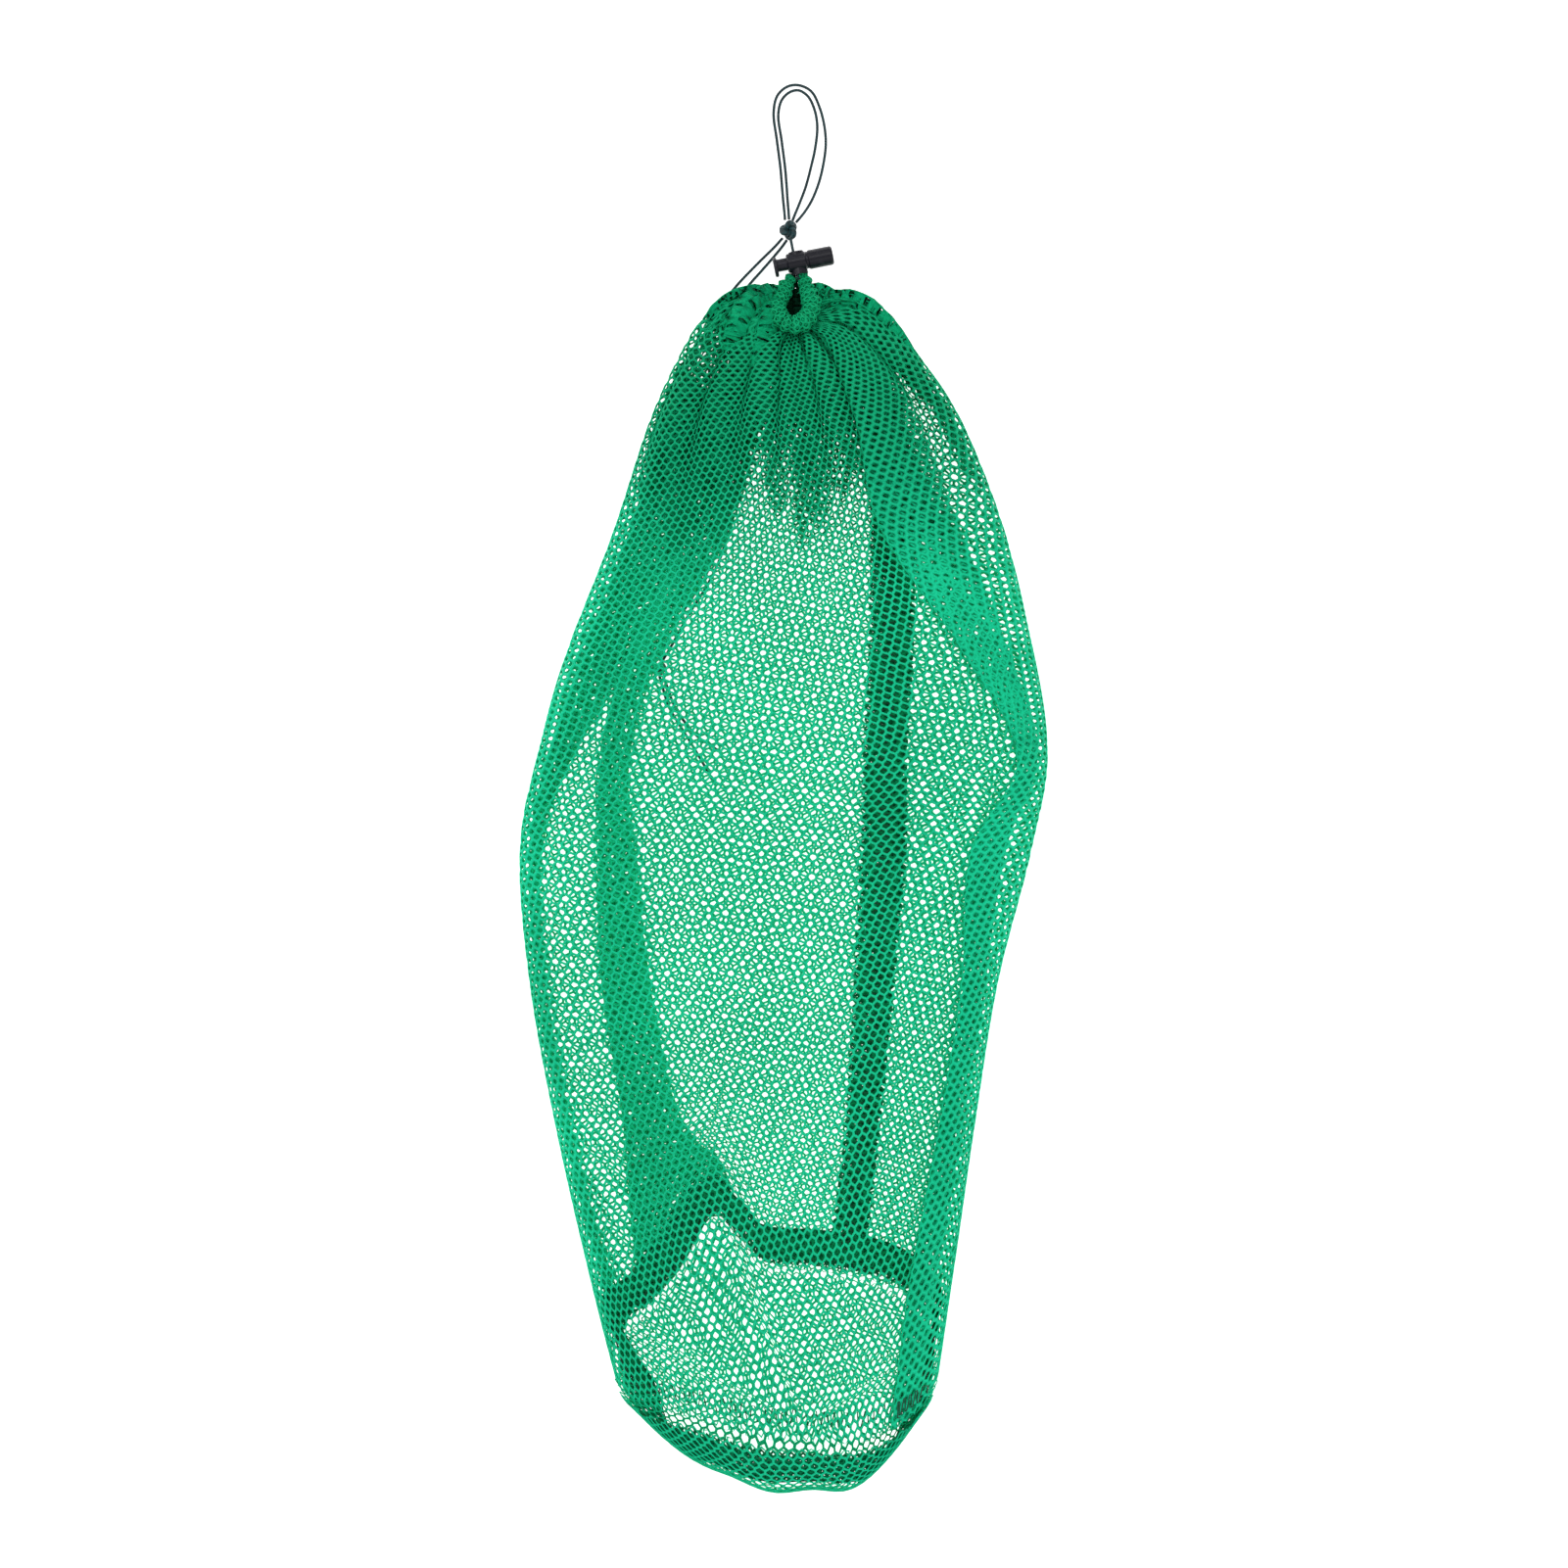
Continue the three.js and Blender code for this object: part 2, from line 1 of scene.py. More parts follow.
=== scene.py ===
import math
import bpy
import numpy as np
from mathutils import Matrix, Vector


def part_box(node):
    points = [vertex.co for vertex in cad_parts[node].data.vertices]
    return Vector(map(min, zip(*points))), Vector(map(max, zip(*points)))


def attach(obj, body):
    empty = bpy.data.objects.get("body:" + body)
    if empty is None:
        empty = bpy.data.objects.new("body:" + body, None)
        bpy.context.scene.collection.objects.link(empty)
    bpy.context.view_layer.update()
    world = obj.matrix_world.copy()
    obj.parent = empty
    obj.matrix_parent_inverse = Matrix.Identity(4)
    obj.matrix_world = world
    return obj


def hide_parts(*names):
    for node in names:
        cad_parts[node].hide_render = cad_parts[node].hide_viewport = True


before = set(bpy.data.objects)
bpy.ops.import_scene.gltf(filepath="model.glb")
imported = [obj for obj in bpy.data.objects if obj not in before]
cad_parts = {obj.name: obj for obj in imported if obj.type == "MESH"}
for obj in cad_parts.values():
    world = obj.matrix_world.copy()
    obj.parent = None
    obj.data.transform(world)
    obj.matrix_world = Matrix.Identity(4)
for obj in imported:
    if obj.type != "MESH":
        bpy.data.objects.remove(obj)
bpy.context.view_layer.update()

# the whole script works in metres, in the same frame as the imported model
mm = 0.001

# camera
cameraSet = {
    "height": 1.6,           # above what the bag lies on
    "middle": (0.0, 0.0338),
    "lens": 87.1,
}

cameraData = bpy.data.cameras.new("topCamera")
cameraData.lens = cameraSet["lens"]
cameraData.clip_start = 0.05
cameraData.clip_end = 20
topCamera = bpy.data.objects.new("topCamera", cameraData)
topCamera.location = (*cameraSet["middle"], cameraSet["height"])
bpy.context.scene.collection.objects.link(topCamera)
bpy.context.scene.camera = topCamera
bpy.context.scene.view_settings.view_transform = "Standard"


# small helpers
def newMesh(name, points, faces, uvName=None, uvs=None):
    # faces: all with the same number of corners, or a list of such arrays
    groups = faces if isinstance(faces, list) else [faces]
    groups = [np.asarray(g, np.int32) for g in groups if len(g)]
    mesh = bpy.data.meshes.new(name)
    mesh.vertices.add(len(points))
    mesh.vertices.foreach_set("co", np.asarray(points, np.float32).ravel())
    corners = np.concatenate([g.ravel() for g in groups])
    sizes = np.concatenate([np.full(len(g), g.shape[1]) for g in groups])
    mesh.loops.add(len(corners))
    mesh.loops.foreach_set("vertex_index", corners)
    mesh.polygons.add(len(sizes))
    mesh.polygons.foreach_set("loop_start", np.concatenate([[0], np.cumsum(sizes)[:-1]]).astype(np.int32))
    mesh.update(calc_edges=True)
    mesh.polygons.foreach_set("use_smooth", np.ones(len(sizes), bool))
    if uvs is not None:
        layer = mesh.uv_layers.new(name=uvName)
        layer.uv.foreach_set("vector", np.asarray(uvs, np.float32).ravel())
    if mesh.validate():
        print("mended", name)
    mesh.update()
    piece = bpy.data.objects.new(name, mesh)
    bpy.context.scene.collection.objects.link(piece)
    return piece


def finishPiece(piece, body, nodes, material):
    piece.data.materials.append(material)
    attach(piece, body)
    if nodes:
        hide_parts(*nodes)
    return piece


def joined(parts, name):
    bpy.ops.object.select_all(action="DESELECT")
    for part in parts:
        part.select_set(True)
    bpy.context.view_layer.objects.active = parts[0]
    bpy.ops.object.join()
    parts[0].name = name
    return parts[0]


def smoothstep(x, low, high):
    share = np.clip((x - low) / (high - low), 0, 1)
    return share * share * (3 - 2 * share)


def centripetal(points, step):
    # a smooth line through the points, with a point about every step
    points = np.asarray(points, float)
    ends = [2 * points[0] - points[1], 2 * points[-1] - points[-2]]
    p = np.vstack([ends[0], points, ends[1]])
    made = []
    for i in range(1, len(p) - 2):
        a, b, c, d = p[i - 1:i + 3]
        t1 = max(np.linalg.norm(b - a), 1e-6) ** 0.5
        t2 = t1 + max(np.linalg.norm(c - b), 1e-6) ** 0.5
        t3 = t2 + max(np.linalg.norm(d - c), 1e-6) ** 0.5
        count = max(2, int(np.linalg.norm(c - b) / step + 0.5))
        t = np.linspace(t1, t2, count, endpoint=False)[:, None]
        ab = a * (t1 - t) / t1 + b * t / t1
        bc = b * (t2 - t) / (t2 - t1) + c * (t - t1) / (t2 - t1)
        cd = c * (t3 - t) / (t3 - t2) + d * (t - t2) / (t3 - t2)
        abc = ab * (t2 - t) / t2 + bc * t / t2
        bcd = bc * (t3 - t) / (t3 - t1) + cd * (t - t1) / (t3 - t1)
        made.append(abc * (t2 - t) / (t2 - t1) + bcd * (t - t1) / (t2 - t1))
    made.append(points[-1:])
    return np.vstack(made)


def tube(name, line, radius, sides=10, uvName="along", closed=False):
    # a round tube along a line; its own map runs round it and, in diameters, along it
    line = np.asarray(line, float)
    count = len(line)
    if closed:
        ahead = np.roll(line, -1, 0) - np.roll(line, 1, 0)
    else:
        ahead = np.gradient(line, axis=0)
    ahead /= np.linalg.norm(ahead, axis=1)[:, None]
    side = np.cross(ahead[0], (0, 0, 1) if abs(ahead[0][2]) < 0.9 else (1, 0, 0))
    rings, lengths, gone = [], [0.0], 0.0
    for i in range(count):
        side = side - ahead[i] * np.dot(side, ahead[i])
        side /= np.linalg.norm(side)
        up = np.cross(ahead[i], side)
        turn = np.arange(sides) / sides * 2 * math.pi
        size = radius[i] if hasattr(radius, "__len__") else radius
        rings.append(line[i] + size * (np.cos(turn)[:, None] * side + np.sin(turn)[:, None] * up))
        if i:
            gone += np.linalg.norm(line[i] - line[i - 1])
            lengths.append(gone)
    points = np.vstack(rings)
    mean = radius[0] if hasattr(radius, "__len__") else radius
    quads, maps = [], []
    for i in range(count if closed else count - 1):
        n = (i + 1) % count
        low = lengths[i] / (2 * mean)
        high = lengths[n] / (2 * mean) if n else low + np.linalg.norm(line[0] - line[-1]) / (2 * mean)
        for k in range(sides):
            m = (k + 1) % sides
            quads.append((i * sides + k, i * sides + m, n * sides + m, n * sides + k))
            maps += [(k / sides, low), ((k + 1) / sides, low), ((k + 1) / sides, high), (k / sides, high)]
    groups = [np.array(quads)]
    if not closed:
        caps = np.array([list(range(sides))[::-1], [(count - 1) * sides + k for k in range(sides)]])
        groups.append(caps)
        maps += [(0.5, 0.0)] * sides + [(0.5, lengths[-1] / (2 * mean))] * sides
    return newMesh(name, points, groups, uvName, maps)


# shared effects
def nodeGroup(name, inputs, outputs):
    group = bpy.data.node_groups.new(name, "ShaderNodeTree")
    for label, kind, value in inputs:
        made = group.interface.new_socket(name=label, in_out="INPUT", socket_type=kind)
        if value is not None:
            made.default_value = value
    for label, kind in outputs:
        group.interface.new_socket(name=label, in_out="OUTPUT", socket_type=kind)
    entry = group.nodes.new("NodeGroupInput")
    leave = group.nodes.new("NodeGroupOutput")
    return group, entry, leave


def mathNode(tree, operation, first, second=None, third=None):
    made = tree.nodes.new("ShaderNodeMath")
    made.operation = operation
    for place, value in enumerate((first, second, third)):
        if value is None:
            continue
        if isinstance(value, (int, float)):
            made.inputs[place].default_value = value
        else:
            tree.links.new(value, made.inputs[place])
    return made.outputs[0]


def mixColour(tree, share, first, second, blend="MIX"):
    made = tree.nodes.new("ShaderNodeMix")
    made.data_type = "RGBA"
    made.blend_type = blend
    for place, value in ((0, share), (6, first), (7, second)):
        if isinstance(value, (int, float)):
            made.inputs[place].default_value = value
        elif isinstance(value, (tuple, list)):
            made.inputs[place].default_value = (*value, 1) if len(value) == 3 else value
        else:
            tree.links.new(value, made.inputs[place])
    return made.outputs[2]


# loops of a knitted or plaited yarn: slanting stitches along a strand, from its own map
def buildStitchLoops():
    group, entry, leave = nodeGroup(
        "stitchLoops",
        [("Map", "NodeSocketVector", None), ("Stitches", "NodeSocketFloat", 3.0),
         ("Slant", "NodeSocketFloat", 1.0), ("Starts", "NodeSocketFloat", 0.0)],
        [("Mask", "NodeSocketFloat"), ("Height", "NodeSocketFloat")],
    )
    parts = group.nodes.new("ShaderNodeSeparateXYZ")
    group.links.new(entry.outputs["Map"], parts.inputs[0])
    along = mathNode(group, "MULTIPLY", parts.outputs[0], entry.outputs["Stitches"])
    across = mathNode(group, "MULTIPLY", parts.outputs[1], entry.outputs["Slant"])
    place = mathNode(group, "ADD", mathNode(group, "ADD", along, across), entry.outputs["Starts"])
    wave = mathNode(group, "SINE", mathNode(group, "MULTIPLY", place, 2 * math.pi))
    height = mathNode(group, "MULTIPLY_ADD", wave, 0.5, 0.5)
    group.links.new(height, leave.inputs["Height"])
    group.links.new(mathNode(group, "POWER", height, 1.6), leave.inputs["Mask"])
    return group


# patches of lighter and darker yarn, in object space
def buildYarnShade():
    group, entry, leave = nodeGroup(
        "yarnShade",
        [("Position", "NodeSocketVector", None), ("Patch Scale", "NodeSocketFloat", 30.0),
         ("Fleck Scale", "NodeSocketFloat", 900.0)],
        [("Patch", "NodeSocketFloat"), ("Fleck", "NodeSocketFloat")],
    )
    for label, detail in (("Patch", 2.0), ("Fleck", 3.0)):
        noise = group.nodes.new("ShaderNodeTexNoise")
        noise.inputs["Detail"].default_value = detail
        group.links.new(entry.outputs["Position"], noise.inputs["Vector"])
        group.links.new(entry.outputs[label + " Scale"], noise.inputs["Scale"])
        spread = group.nodes.new("ShaderNodeMapRange")
        spread.inputs["From Min"].default_value = 0.3
        spread.inputs["From Max"].default_value = 0.7
        group.links.new(noise.outputs[0], spread.inputs["Value"])
        group.links.new(spread.outputs["Result"], leave.inputs[label])
    return group


# rubbed edges and fine grain of moulded plastic
def buildMouldedGrain():
    group, entry, leave = nodeGroup(
        "mouldedGrain",
        [("Position", "NodeSocketVector", None), ("Grain Scale", "NodeSocketFloat", 2500.0),
         ("Scuff Scale", "NodeSocketFloat", 300.0)],
        [("Scuff", "NodeSocketFloat"), ("Height", "NodeSocketFloat")],
    )
    grain = group.nodes.new("ShaderNodeTexNoise")
    grain.inputs["Detail"].default_value = 4
    group.links.new(entry.outputs["Position"], grain.inputs["Vector"])
    group.links.new(entry.outputs["Grain Scale"], grain.inputs["Scale"])
    scuff = group.nodes.new("ShaderNodeTexNoise")
    scuff.inputs["Detail"].default_value = 6
    scuff.inputs["Roughness"].default_value = 0.7
    group.links.new(entry.outputs["Position"], scuff.inputs["Vector"])
    group.links.new(entry.outputs["Scuff Scale"], scuff.inputs["Scale"])
    spread = group.nodes.new("ShaderNodeMapRange")
    spread.inputs["From Min"].default_value = 0.52
    spread.inputs["From Max"].default_value = 0.75
    group.links.new(scuff.outputs[0], spread.inputs["Value"])
    group.links.new(spread.outputs["Result"], leave.inputs["Scuff"])
    group.links.new(grain.outputs[0], leave.inputs["Height"])
    return group


stitchLoops = buildStitchLoops()
yarnShade = buildYarnShade()
mouldedGrain = buildMouldedGrain()


def newMaterial(name, roughness, specular):
    made = bpy.data.materials.new(name)
    made.use_nodes = True
    shader = made.node_tree.nodes["Principled BSDF"]
    shader.inputs["Roughness"].default_value = roughness
    shader.inputs["Specular IOR Level"].default_value = specular
    return made, made.node_tree, shader


def placeGroup(tree, group, values):
    made = tree.nodes.new("ShaderNodeGroup")
    made.node_tree = group
    for label, value in values.items():
        if isinstance(value, (int, float)):
            made.inputs[label].default_value = value
        else:
            tree.links.new(value, made.inputs[label])
    return made


def ownMap(tree, name):
    made = tree.nodes.new("ShaderNodeUVMap")
    made.uv_map = name
    return made.outputs[0]


def objectPlace(tree):
    return tree.nodes.new("ShaderNodeTexCoord").outputs["Object"]


yarnLook = {
    "flecks": 0.3, "stitchShadeAmount": 0.3, "patchScale": 60, "fleckScale": 1100, "map": "strand",
    "stitches": 3, "slant": 1.0, "roughness": 0.6, "specular": 0.1, "sheen": 0.02,
    "bump": 0.5, "bumpDepth": 0.0001,
}
twisted = {"map": "along", "stitches": 2, "roughness": 0.5, "specular": 0.4, "sheen": 0.1}


def yarnMaterial(name, own):
    # bright and deep are the yarn's two tones; the darker colour between its stitches is painted shade
    look = {**yarnLook, **own}
    made, tree, shader = newMaterial(name, look["roughness"], look["specular"])
    shader.inputs["Sheen Weight"].default_value = look["sheen"]
    shader.inputs["Sheen Roughness"].default_value = 0.4
    shade = placeGroup(tree, yarnShade, {
        "Position": objectPlace(tree),
        "Patch Scale": look["patchScale"],
        "Fleck Scale": look["fleckScale"],
    })
    loops = placeGroup(tree, stitchLoops, {
        "Map": ownMap(tree, look["map"]),
        "Stitches": look["stitches"],
        "Slant": look["slant"],
    })
    base = mixColour(tree, shade.outputs["Patch"], look["deep"], look["bright"])
    flecked = mixColour(tree, mathNode(tree, "MULTIPLY", shade.outputs["Fleck"], look["flecks"]),
                        base, look["fleck"])
    if "gathered" in look:
        # painted shade: the green is mixed towards a darker green nearer the mouth, standing in for the
        # shade where the netting is bunched together
        apart = tree.nodes.new("ShaderNodeSeparateXYZ")
        tree.links.new(objectPlace(tree), apart.inputs[0])
        rise = tree.nodes.new("ShaderNodeMapRange")
        rise.interpolation_type = "SMOOTHSTEP"
        rise.inputs["From Min"].default_value = 0.10
        rise.inputs["From Max"].default_value = 0.215
        rise.inputs["To Max"].default_value = 0.8
        tree.links.new(apart.outputs["Y"], rise.inputs["Value"])
        flecked = mixColour(tree, rise.outputs[0], flecked, look["gathered"])
    # painted shade: darker colour in the crevices between the stitch loops
    stitchShadeShare = mathNode(tree, "MULTIPLY", mathNode(tree, "SUBTRACT", 1.0, loops.outputs["Mask"]),
                           look["stitchShadeAmount"])
    colour = mixColour(tree, stitchShadeShare, flecked, look["stitchShade"])
    tree.links.new(colour, shader.inputs["Base Color"])
    rough = mathNode(tree, "MULTIPLY_ADD", shade.outputs["Fleck"], 0.15, look["roughness"] - 0.07)
    tree.links.new(rough, shader.inputs["Roughness"])
    bump = tree.nodes.new("ShaderNodeBump")
    bump.inputs["Strength"].default_value = look["bump"]
    bump.inputs["Distance"].default_value = look["bumpDepth"]
    tree.links.new(loops.outputs["Height"], bump.inputs["Height"])
    tree.links.new(bump.outputs[0], shader.inputs["Normal"])
    return made


# each yarn's own look; the rest comes from yarnLook
# netYarn's darker green towards the mouth is painted shade
netYarn = yarnMaterial("netYarn", {
    "bright": (0.010, 0.84, 0.42), "deep": (0.006, 0.68, 0.32), "stitchShade": (0.001, 0.20, 0.11),
    "fleck": (0.012, 0.88, 0.50), "flecks": 0.35, "gathered": (0.002, 0.40, 0.155), "patchScale": 26,
})
# painted shade: a darker copy of the net's green for the doubled seams lying in shade under the front
# netting
seamShadeYarn = yarnMaterial("seamShadeYarn", {
    "bright": (0.003, 0.34, 0.145), "deep": (0.002, 0.24, 0.095), "stitchShade": (0.001, 0.06, 0.03),
    "fleck": (0.005, 0.45, 0.20), "patchScale": 40, "roughness": 0.65, "specular": 0.08,
})
# painted shade: a darker copy of the net's green for the gathered hem
hemYarn = yarnMaterial("hemYarn", {
    "bright": (0.004, 0.60, 0.25), "deep": (0.002, 0.42, 0.16), "stitchShade": (0.001, 0.07, 0.03),
    "fleck": (0.006, 0.66, 0.30), "stitchShadeAmount": 0.35,
})
# painted shade: a darker copy of the net's green for the inner layers stowed in the neck
pleatShadeYarn = yarnMaterial("pleatShadeYarn", {
    "bright": (0.003, 0.50, 0.21), "deep": (0.002, 0.34, 0.14), "stitchShade": (0.001, 0.06, 0.03),
    "fleck": (0.005, 0.55, 0.24), "roughness": 0.7, "specular": 0.05,
})
# painted shade: the net's green darkened nearly to black, standing in for the shade deep inside the drawn
# mouth
throatShadeYarn = yarnMaterial("throatShadeYarn", {
    "bright": (0.001, 0.035, 0.016), "deep": (0.001, 0.018, 0.008), "stitchShade": (0.001, 0.006, 0.003),
    "fleck": (0.002, 0.07, 0.03), "patchScale": 90, "roughness": 0.8, "specular": 0.03, "sheen": 0.0,
})
threadYarn = yarnMaterial("threadYarn", {
    "bright": (0.004, 0.10, 0.045), "deep": (0.002, 0.05, 0.025), "stitchShade": (0.001, 0.015, 0.01),
    "fleck": (0.01, 0.16, 0.08), "stitchShadeAmount": 0.5, "fleckScale": 2000, "bump": 0.6, **twisted,
})
cordYarn = yarnMaterial("cordYarn", {
    "bright": (0.006, 0.05, 0.06), "deep": (0.003, 0.022, 0.028), "stitchShade": (0.001, 0.005, 0.007),
    "fleck": (0.03, 0.14, 0.15), "flecks": 0.35, "stitchShadeAmount": 0.7, "patchScale": 150,
    "fleckScale": 2500, "bump": 0.8, "bumpDepth": 0.0002, **twisted,
})

# cords
cordSet = {
    "diameter": 0.0012,
    "step": 0.0006,
    "sides": 12,
}

loopOuterRoute = [
    (0.0004, 0.2713, 0.0034), (0.0001, 0.2750, 0.0022), (-0.0004, 0.2800, 0.0009),
    (-0.0009, 0.2860, 0.00065), (-0.0015, 0.2932, 0.00065), (-0.0030, 0.3050, 0.00065),
    (-0.0044, 0.3169, 0.00065), (-0.0028, 0.3240, 0.00065), (0.0014, 0.3278, 0.00065),
    (0.0062, 0.3284, 0.00065), (0.0115, 0.3258, 0.00065), (0.0150, 0.3190, 0.00065),
    (0.0171, 0.3106, 0.00065), (0.0176, 0.3032, 0.00065), (0.0166, 0.2952, 0.00065),
    (0.0146, 0.2870, 0.00065), (0.0116, 0.2796, 0.0008), (0.0083, 0.2742, 0.0019),
    (0.0051, 0.2702, 0.0030),
]
loopInnerRoute = [
    (0.0021, 0.2715, 0.0034), (0.0019, 0.2750, 0.0022), (0.0015, 0.2800, 0.0009),
    (0.0011, 0.2860, 0.00065), (0.0005, 0.2932, 0.00065), (-0.0010, 0.3050, 0.00065),
    (-0.0024, 0.3160, 0.00065), (-0.0009, 0.3222, 0.00065), (0.0025, 0.3255, 0.00065),
    (0.0062, 0.3262, 0.00065), (0.0100, 0.3238, 0.00065), (0.0128, 0.3182, 0.00065),
    (0.0140, 0.3112, 0.00065), (0.0132, 0.3022, 0.00065), (0.0114, 0.2940, 0.00065),
    (0.0091, 0.2854, 0.0007), (0.0065, 0.2784, 0.0012), (0.0049, 0.2744, 0.0021),
    (0.0036, 0.2710, 0.0029),
]
tailLeftRoute = [
    (-0.0006, 0.2638, 0.0018), (-0.0036, 0.2606, 0.0008), (-0.0117, 0.2526, 0.00065),
    (-0.0203, 0.2435, 0.00065), (-0.0264, 0.2353, 0.00065), (-0.0304, 0.2260, 0.00065),
    (-0.0316, 0.2120, 0.00065), (-0.0304, 0.1920, 0.00065), (-0.0280, 0.1700, 0.00065),
    (-0.0261, 0.1510, 0.00065), (-0.0273, 0.1360, 0.00065), (-0.0333, 0.1212, 0.00065),
    (-0.0425, 0.1064, 0.00065), (-0.0500, 0.0924, 0.00065), (-0.0529, 0.0859, 0.0012),
]
tailRightRoute = [
    (0.0012, 0.2629, 0.0020), (-0.0008, 0.2603, 0.0008), (-0.0047, 0.2556, 0.00065),
    (-0.0096, 0.2500, 0.00065), (-0.0152, 0.2436, 0.00065), (-0.0204, 0.2360, 0.00065),
    (-0.0250, 0.2266, 0.00065), (-0.0284, 0.2120, 0.00065), (-0.0282, 0.1920, 0.00065),
    (-0.0258, 0.1700, 0.00065), (-0.0238, 0.1510, 0.00065), (-0.0249, 0.1352, 0.00065),
    (-0.0313, 0.1195, 0.00065), (-0.0404, 0.1048, 0.00065), (-0.0478, 0.0914, 0.00065),
    (-0.0512, 0.0857, 0.0012),
]
endLeftRoute = [
    (-0.0525, 0.0793, 0.0012), (-0.0509, 0.0735, 0.00065), (-0.0484, 0.0660, 0.00065),
    (-0.0440, 0.0586, 0.00065), (-0.0386, 0.0500, 0.00065), (-0.0336, 0.0416, 0.00065),
    (-0.0297, 0.0344, 0.00065),
]
endRightRoute = [
    (-0.0510, 0.0793, 0.0012), (-0.0488, 0.0736, 0.00065), (-0.0462, 0.0666, 0.00065),
    (-0.0416, 0.0596, 0.00065), (-0.0366, 0.0540, 0.00065), (-0.0316, 0.0504, 0.00065),
    (-0.0269, 0.0474, 0.00065),
]
mouthRoute = [
    (0.0086, 0.2440, 0.0049), (0.0098, 0.2410, 0.0059), (0.0114, 0.2368, 0.0078),
    (0.0110, 0.2316, 0.0101), (0.0079, 0.2274, 0.0120), (0.0038, 0.2260, 0.0127),
    (-0.0004, 0.2276, 0.0120), (-0.0027, 0.2318, 0.0100), (-0.0022, 0.2368, 0.0078),
    (-0.0002, 0.2410, 0.0059), (0.0012, 0.2440, 0.0049),
]
runIn = [
    (0.0028, 0.26276, 0.0064), (0.00309, 0.26128, 0.0064), (0.00375, 0.25791, 0.0064),
    (0.00422, 0.25545, 0.0064), (0.0047, 0.253, 0.0064), (0.00518, 0.25055, 0.0064),
    (0.00565, 0.24809, 0.0064), (0.00593, 0.24667, 0.0064),
]
runOut = [
    (0.00593, 0.24667, 0.0051), (0.00565, 0.24809, 0.0051), (0.00518, 0.25055, 0.0051),
    (0.0047, 0.253, 0.0051), (0.00422, 0.25545, 0.0051), (0.00375, 0.25791, 0.0051),
    (0.00319, 0.26077, 0.0051), (0.0029, 0.26224, 0.0051),
]


def makeCord(name, node, route):
    line = centripetal(route, cordSet["step"])
    piece = tube(name, line, cordSet["diameter"] / 2, cordSet["sides"])
    finishPiece(piece, "bag", [node], cordYarn)
    return piece


drawcord = makeCord("drawCord", "drawcord", runIn + mouthRoute + runOut)
loopOuter = makeCord("loopOuter", "loop_cord_outer", loopOuterRoute)
loopInner = makeCord("loopInner", "loop_cord_inner", loopInnerRoute)
tailLeft = makeCord("tailLeft", "tail_cord_left", tailLeftRoute)
tailRight = makeCord("tailRight", "tail_cord_right", tailRightRoute)
endLeft = makeCord("endLeft", "cord_end_left", endLeftRoute)
endRight = makeCord("endRight", "cord_end_right", endRightRoute)


# an overhand knot of two cords side by side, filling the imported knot's box
def makeKnot(name, node, radius, turnedBy, shrink):
    low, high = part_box(node)
    middle = np.array((low + high) / 2)
    half = np.array((high - low) / 2)
    t = np.linspace(0, 2 * math.pi, 120, endpoint=False)
    parts = []
    for shift in (-1, 1):
        x = (np.sin(t) + 2 * np.sin(2 * t)) / 3
        y = (np.cos(t) - 2 * np.cos(2 * t)) / 3
        z = -np.sin(3 * t)
        spin = turnedBy + shift * 0.16
        a = x * math.cos(spin) - y * math.sin(spin)
        b = x * math.sin(spin) + y * math.cos(spin)
        room = half - radius
        line = middle + np.stack([a * room[0] * shrink, b * room[1] * shrink,
                                  z * room[2] * 0.72 + shift * radius * 0.35], 1)
        parts.append(tube(name + "Strand", line, radius, 10, closed=True))
    knot = joined(parts, name)
    finishPiece(knot, "bag", [node], cordYarn)
    print("knot", name)
    return knot


topKnot = makeKnot("topKnot", "top_knot", 0.00105, 0.5, 1.0)
endKnot = makeKnot("endKnot", "end_knot", 0.0007, 0.2, 1.0)


# the surface that the netting follows
# y of the flanks, of the upper layer's middle and of the lower layer's middle, then left and
# right edge, and top and bottom height, from the mouth to the bottom seam, in millimetres
bagOutline = {
    "flank": [232.6, 233.5, 226.5, 211, 185, 140, 90, 45, 5, -50, -110, -165, -205],
    "front": [225.2, 220.5, 213, 202, 182, 140, 90, 45, 5, -50, -115, -183, -239],
    "back": [240, 240, 233, 216, 186, 140, 90, 45, 5, -50, -104, -145, -171],
    "left": [-2.4, -20.5, -35, -45, -56.5, -71, -90, -103.5, -110.5, -106, -95.5, -83, -71.5],
    "right": [11.2, 30.5, 44.5, 58, 74.5, 92, 104.5, 110, 102.5, 88.5, 79, 71.5, 65],
    "top": [8.6, 12, 16, 20, 24, 27, 29, 30, 30, 30, 29, 28, 26],
    "bottom": [1.9, 0.4, -1.2, -1.6, -1.8, -1.8, -1.8, -1.8, -1.8, -1.8, -1.8, -1.8, -1.6],
}
# where the folds of the slack netting turn, row by row: one in the upper layer on the right,
# two in the lower layer on the left, and the side seam
foldLines = {
    "seam": [10, 22, 33, 39, 42, 43, 44.5, 43.5, 42.5, 39, 33.5, 28, 24],
    "rightIn": [8, 17, 22, 26, 31, 38.5, 72, 96, 76, 72.5, 63, 51, 44],
    "rightOut": [10, 24, 36, 47, 58, 74.5, 94, 107, 93, 86, 76.5, 65, 56],
    "edgeIn": [0, -8, -17, -23, -31, -41, -61, -88, -101, -99.5, -90, -78, -66],
    "edgeOut": [-1, -16, -30, -40, -52.5, -67, -86, -101, -108, -104.5, -94, -82, -71],
    "bandIn": [2, -1, -6, -8, -10, -22, -50, -63.5, -61, -55, -44, -24, -19],
    "bandOut": [1, -7, -17, -24, -32, -43, -66, -78, -79.5, -78, -69, -65, -60],
}
slack = {
    "lengths": [80, 28, 185, 16, 45, 22, 105],  # netting from each fold line to the next
    "apart": 1.5,          # from one layer of a fold to the next
    "rounding": 1.4,       # radius that a fold turns with
    "cordRoom": 3.6,
    "fullness": 0.25,
}
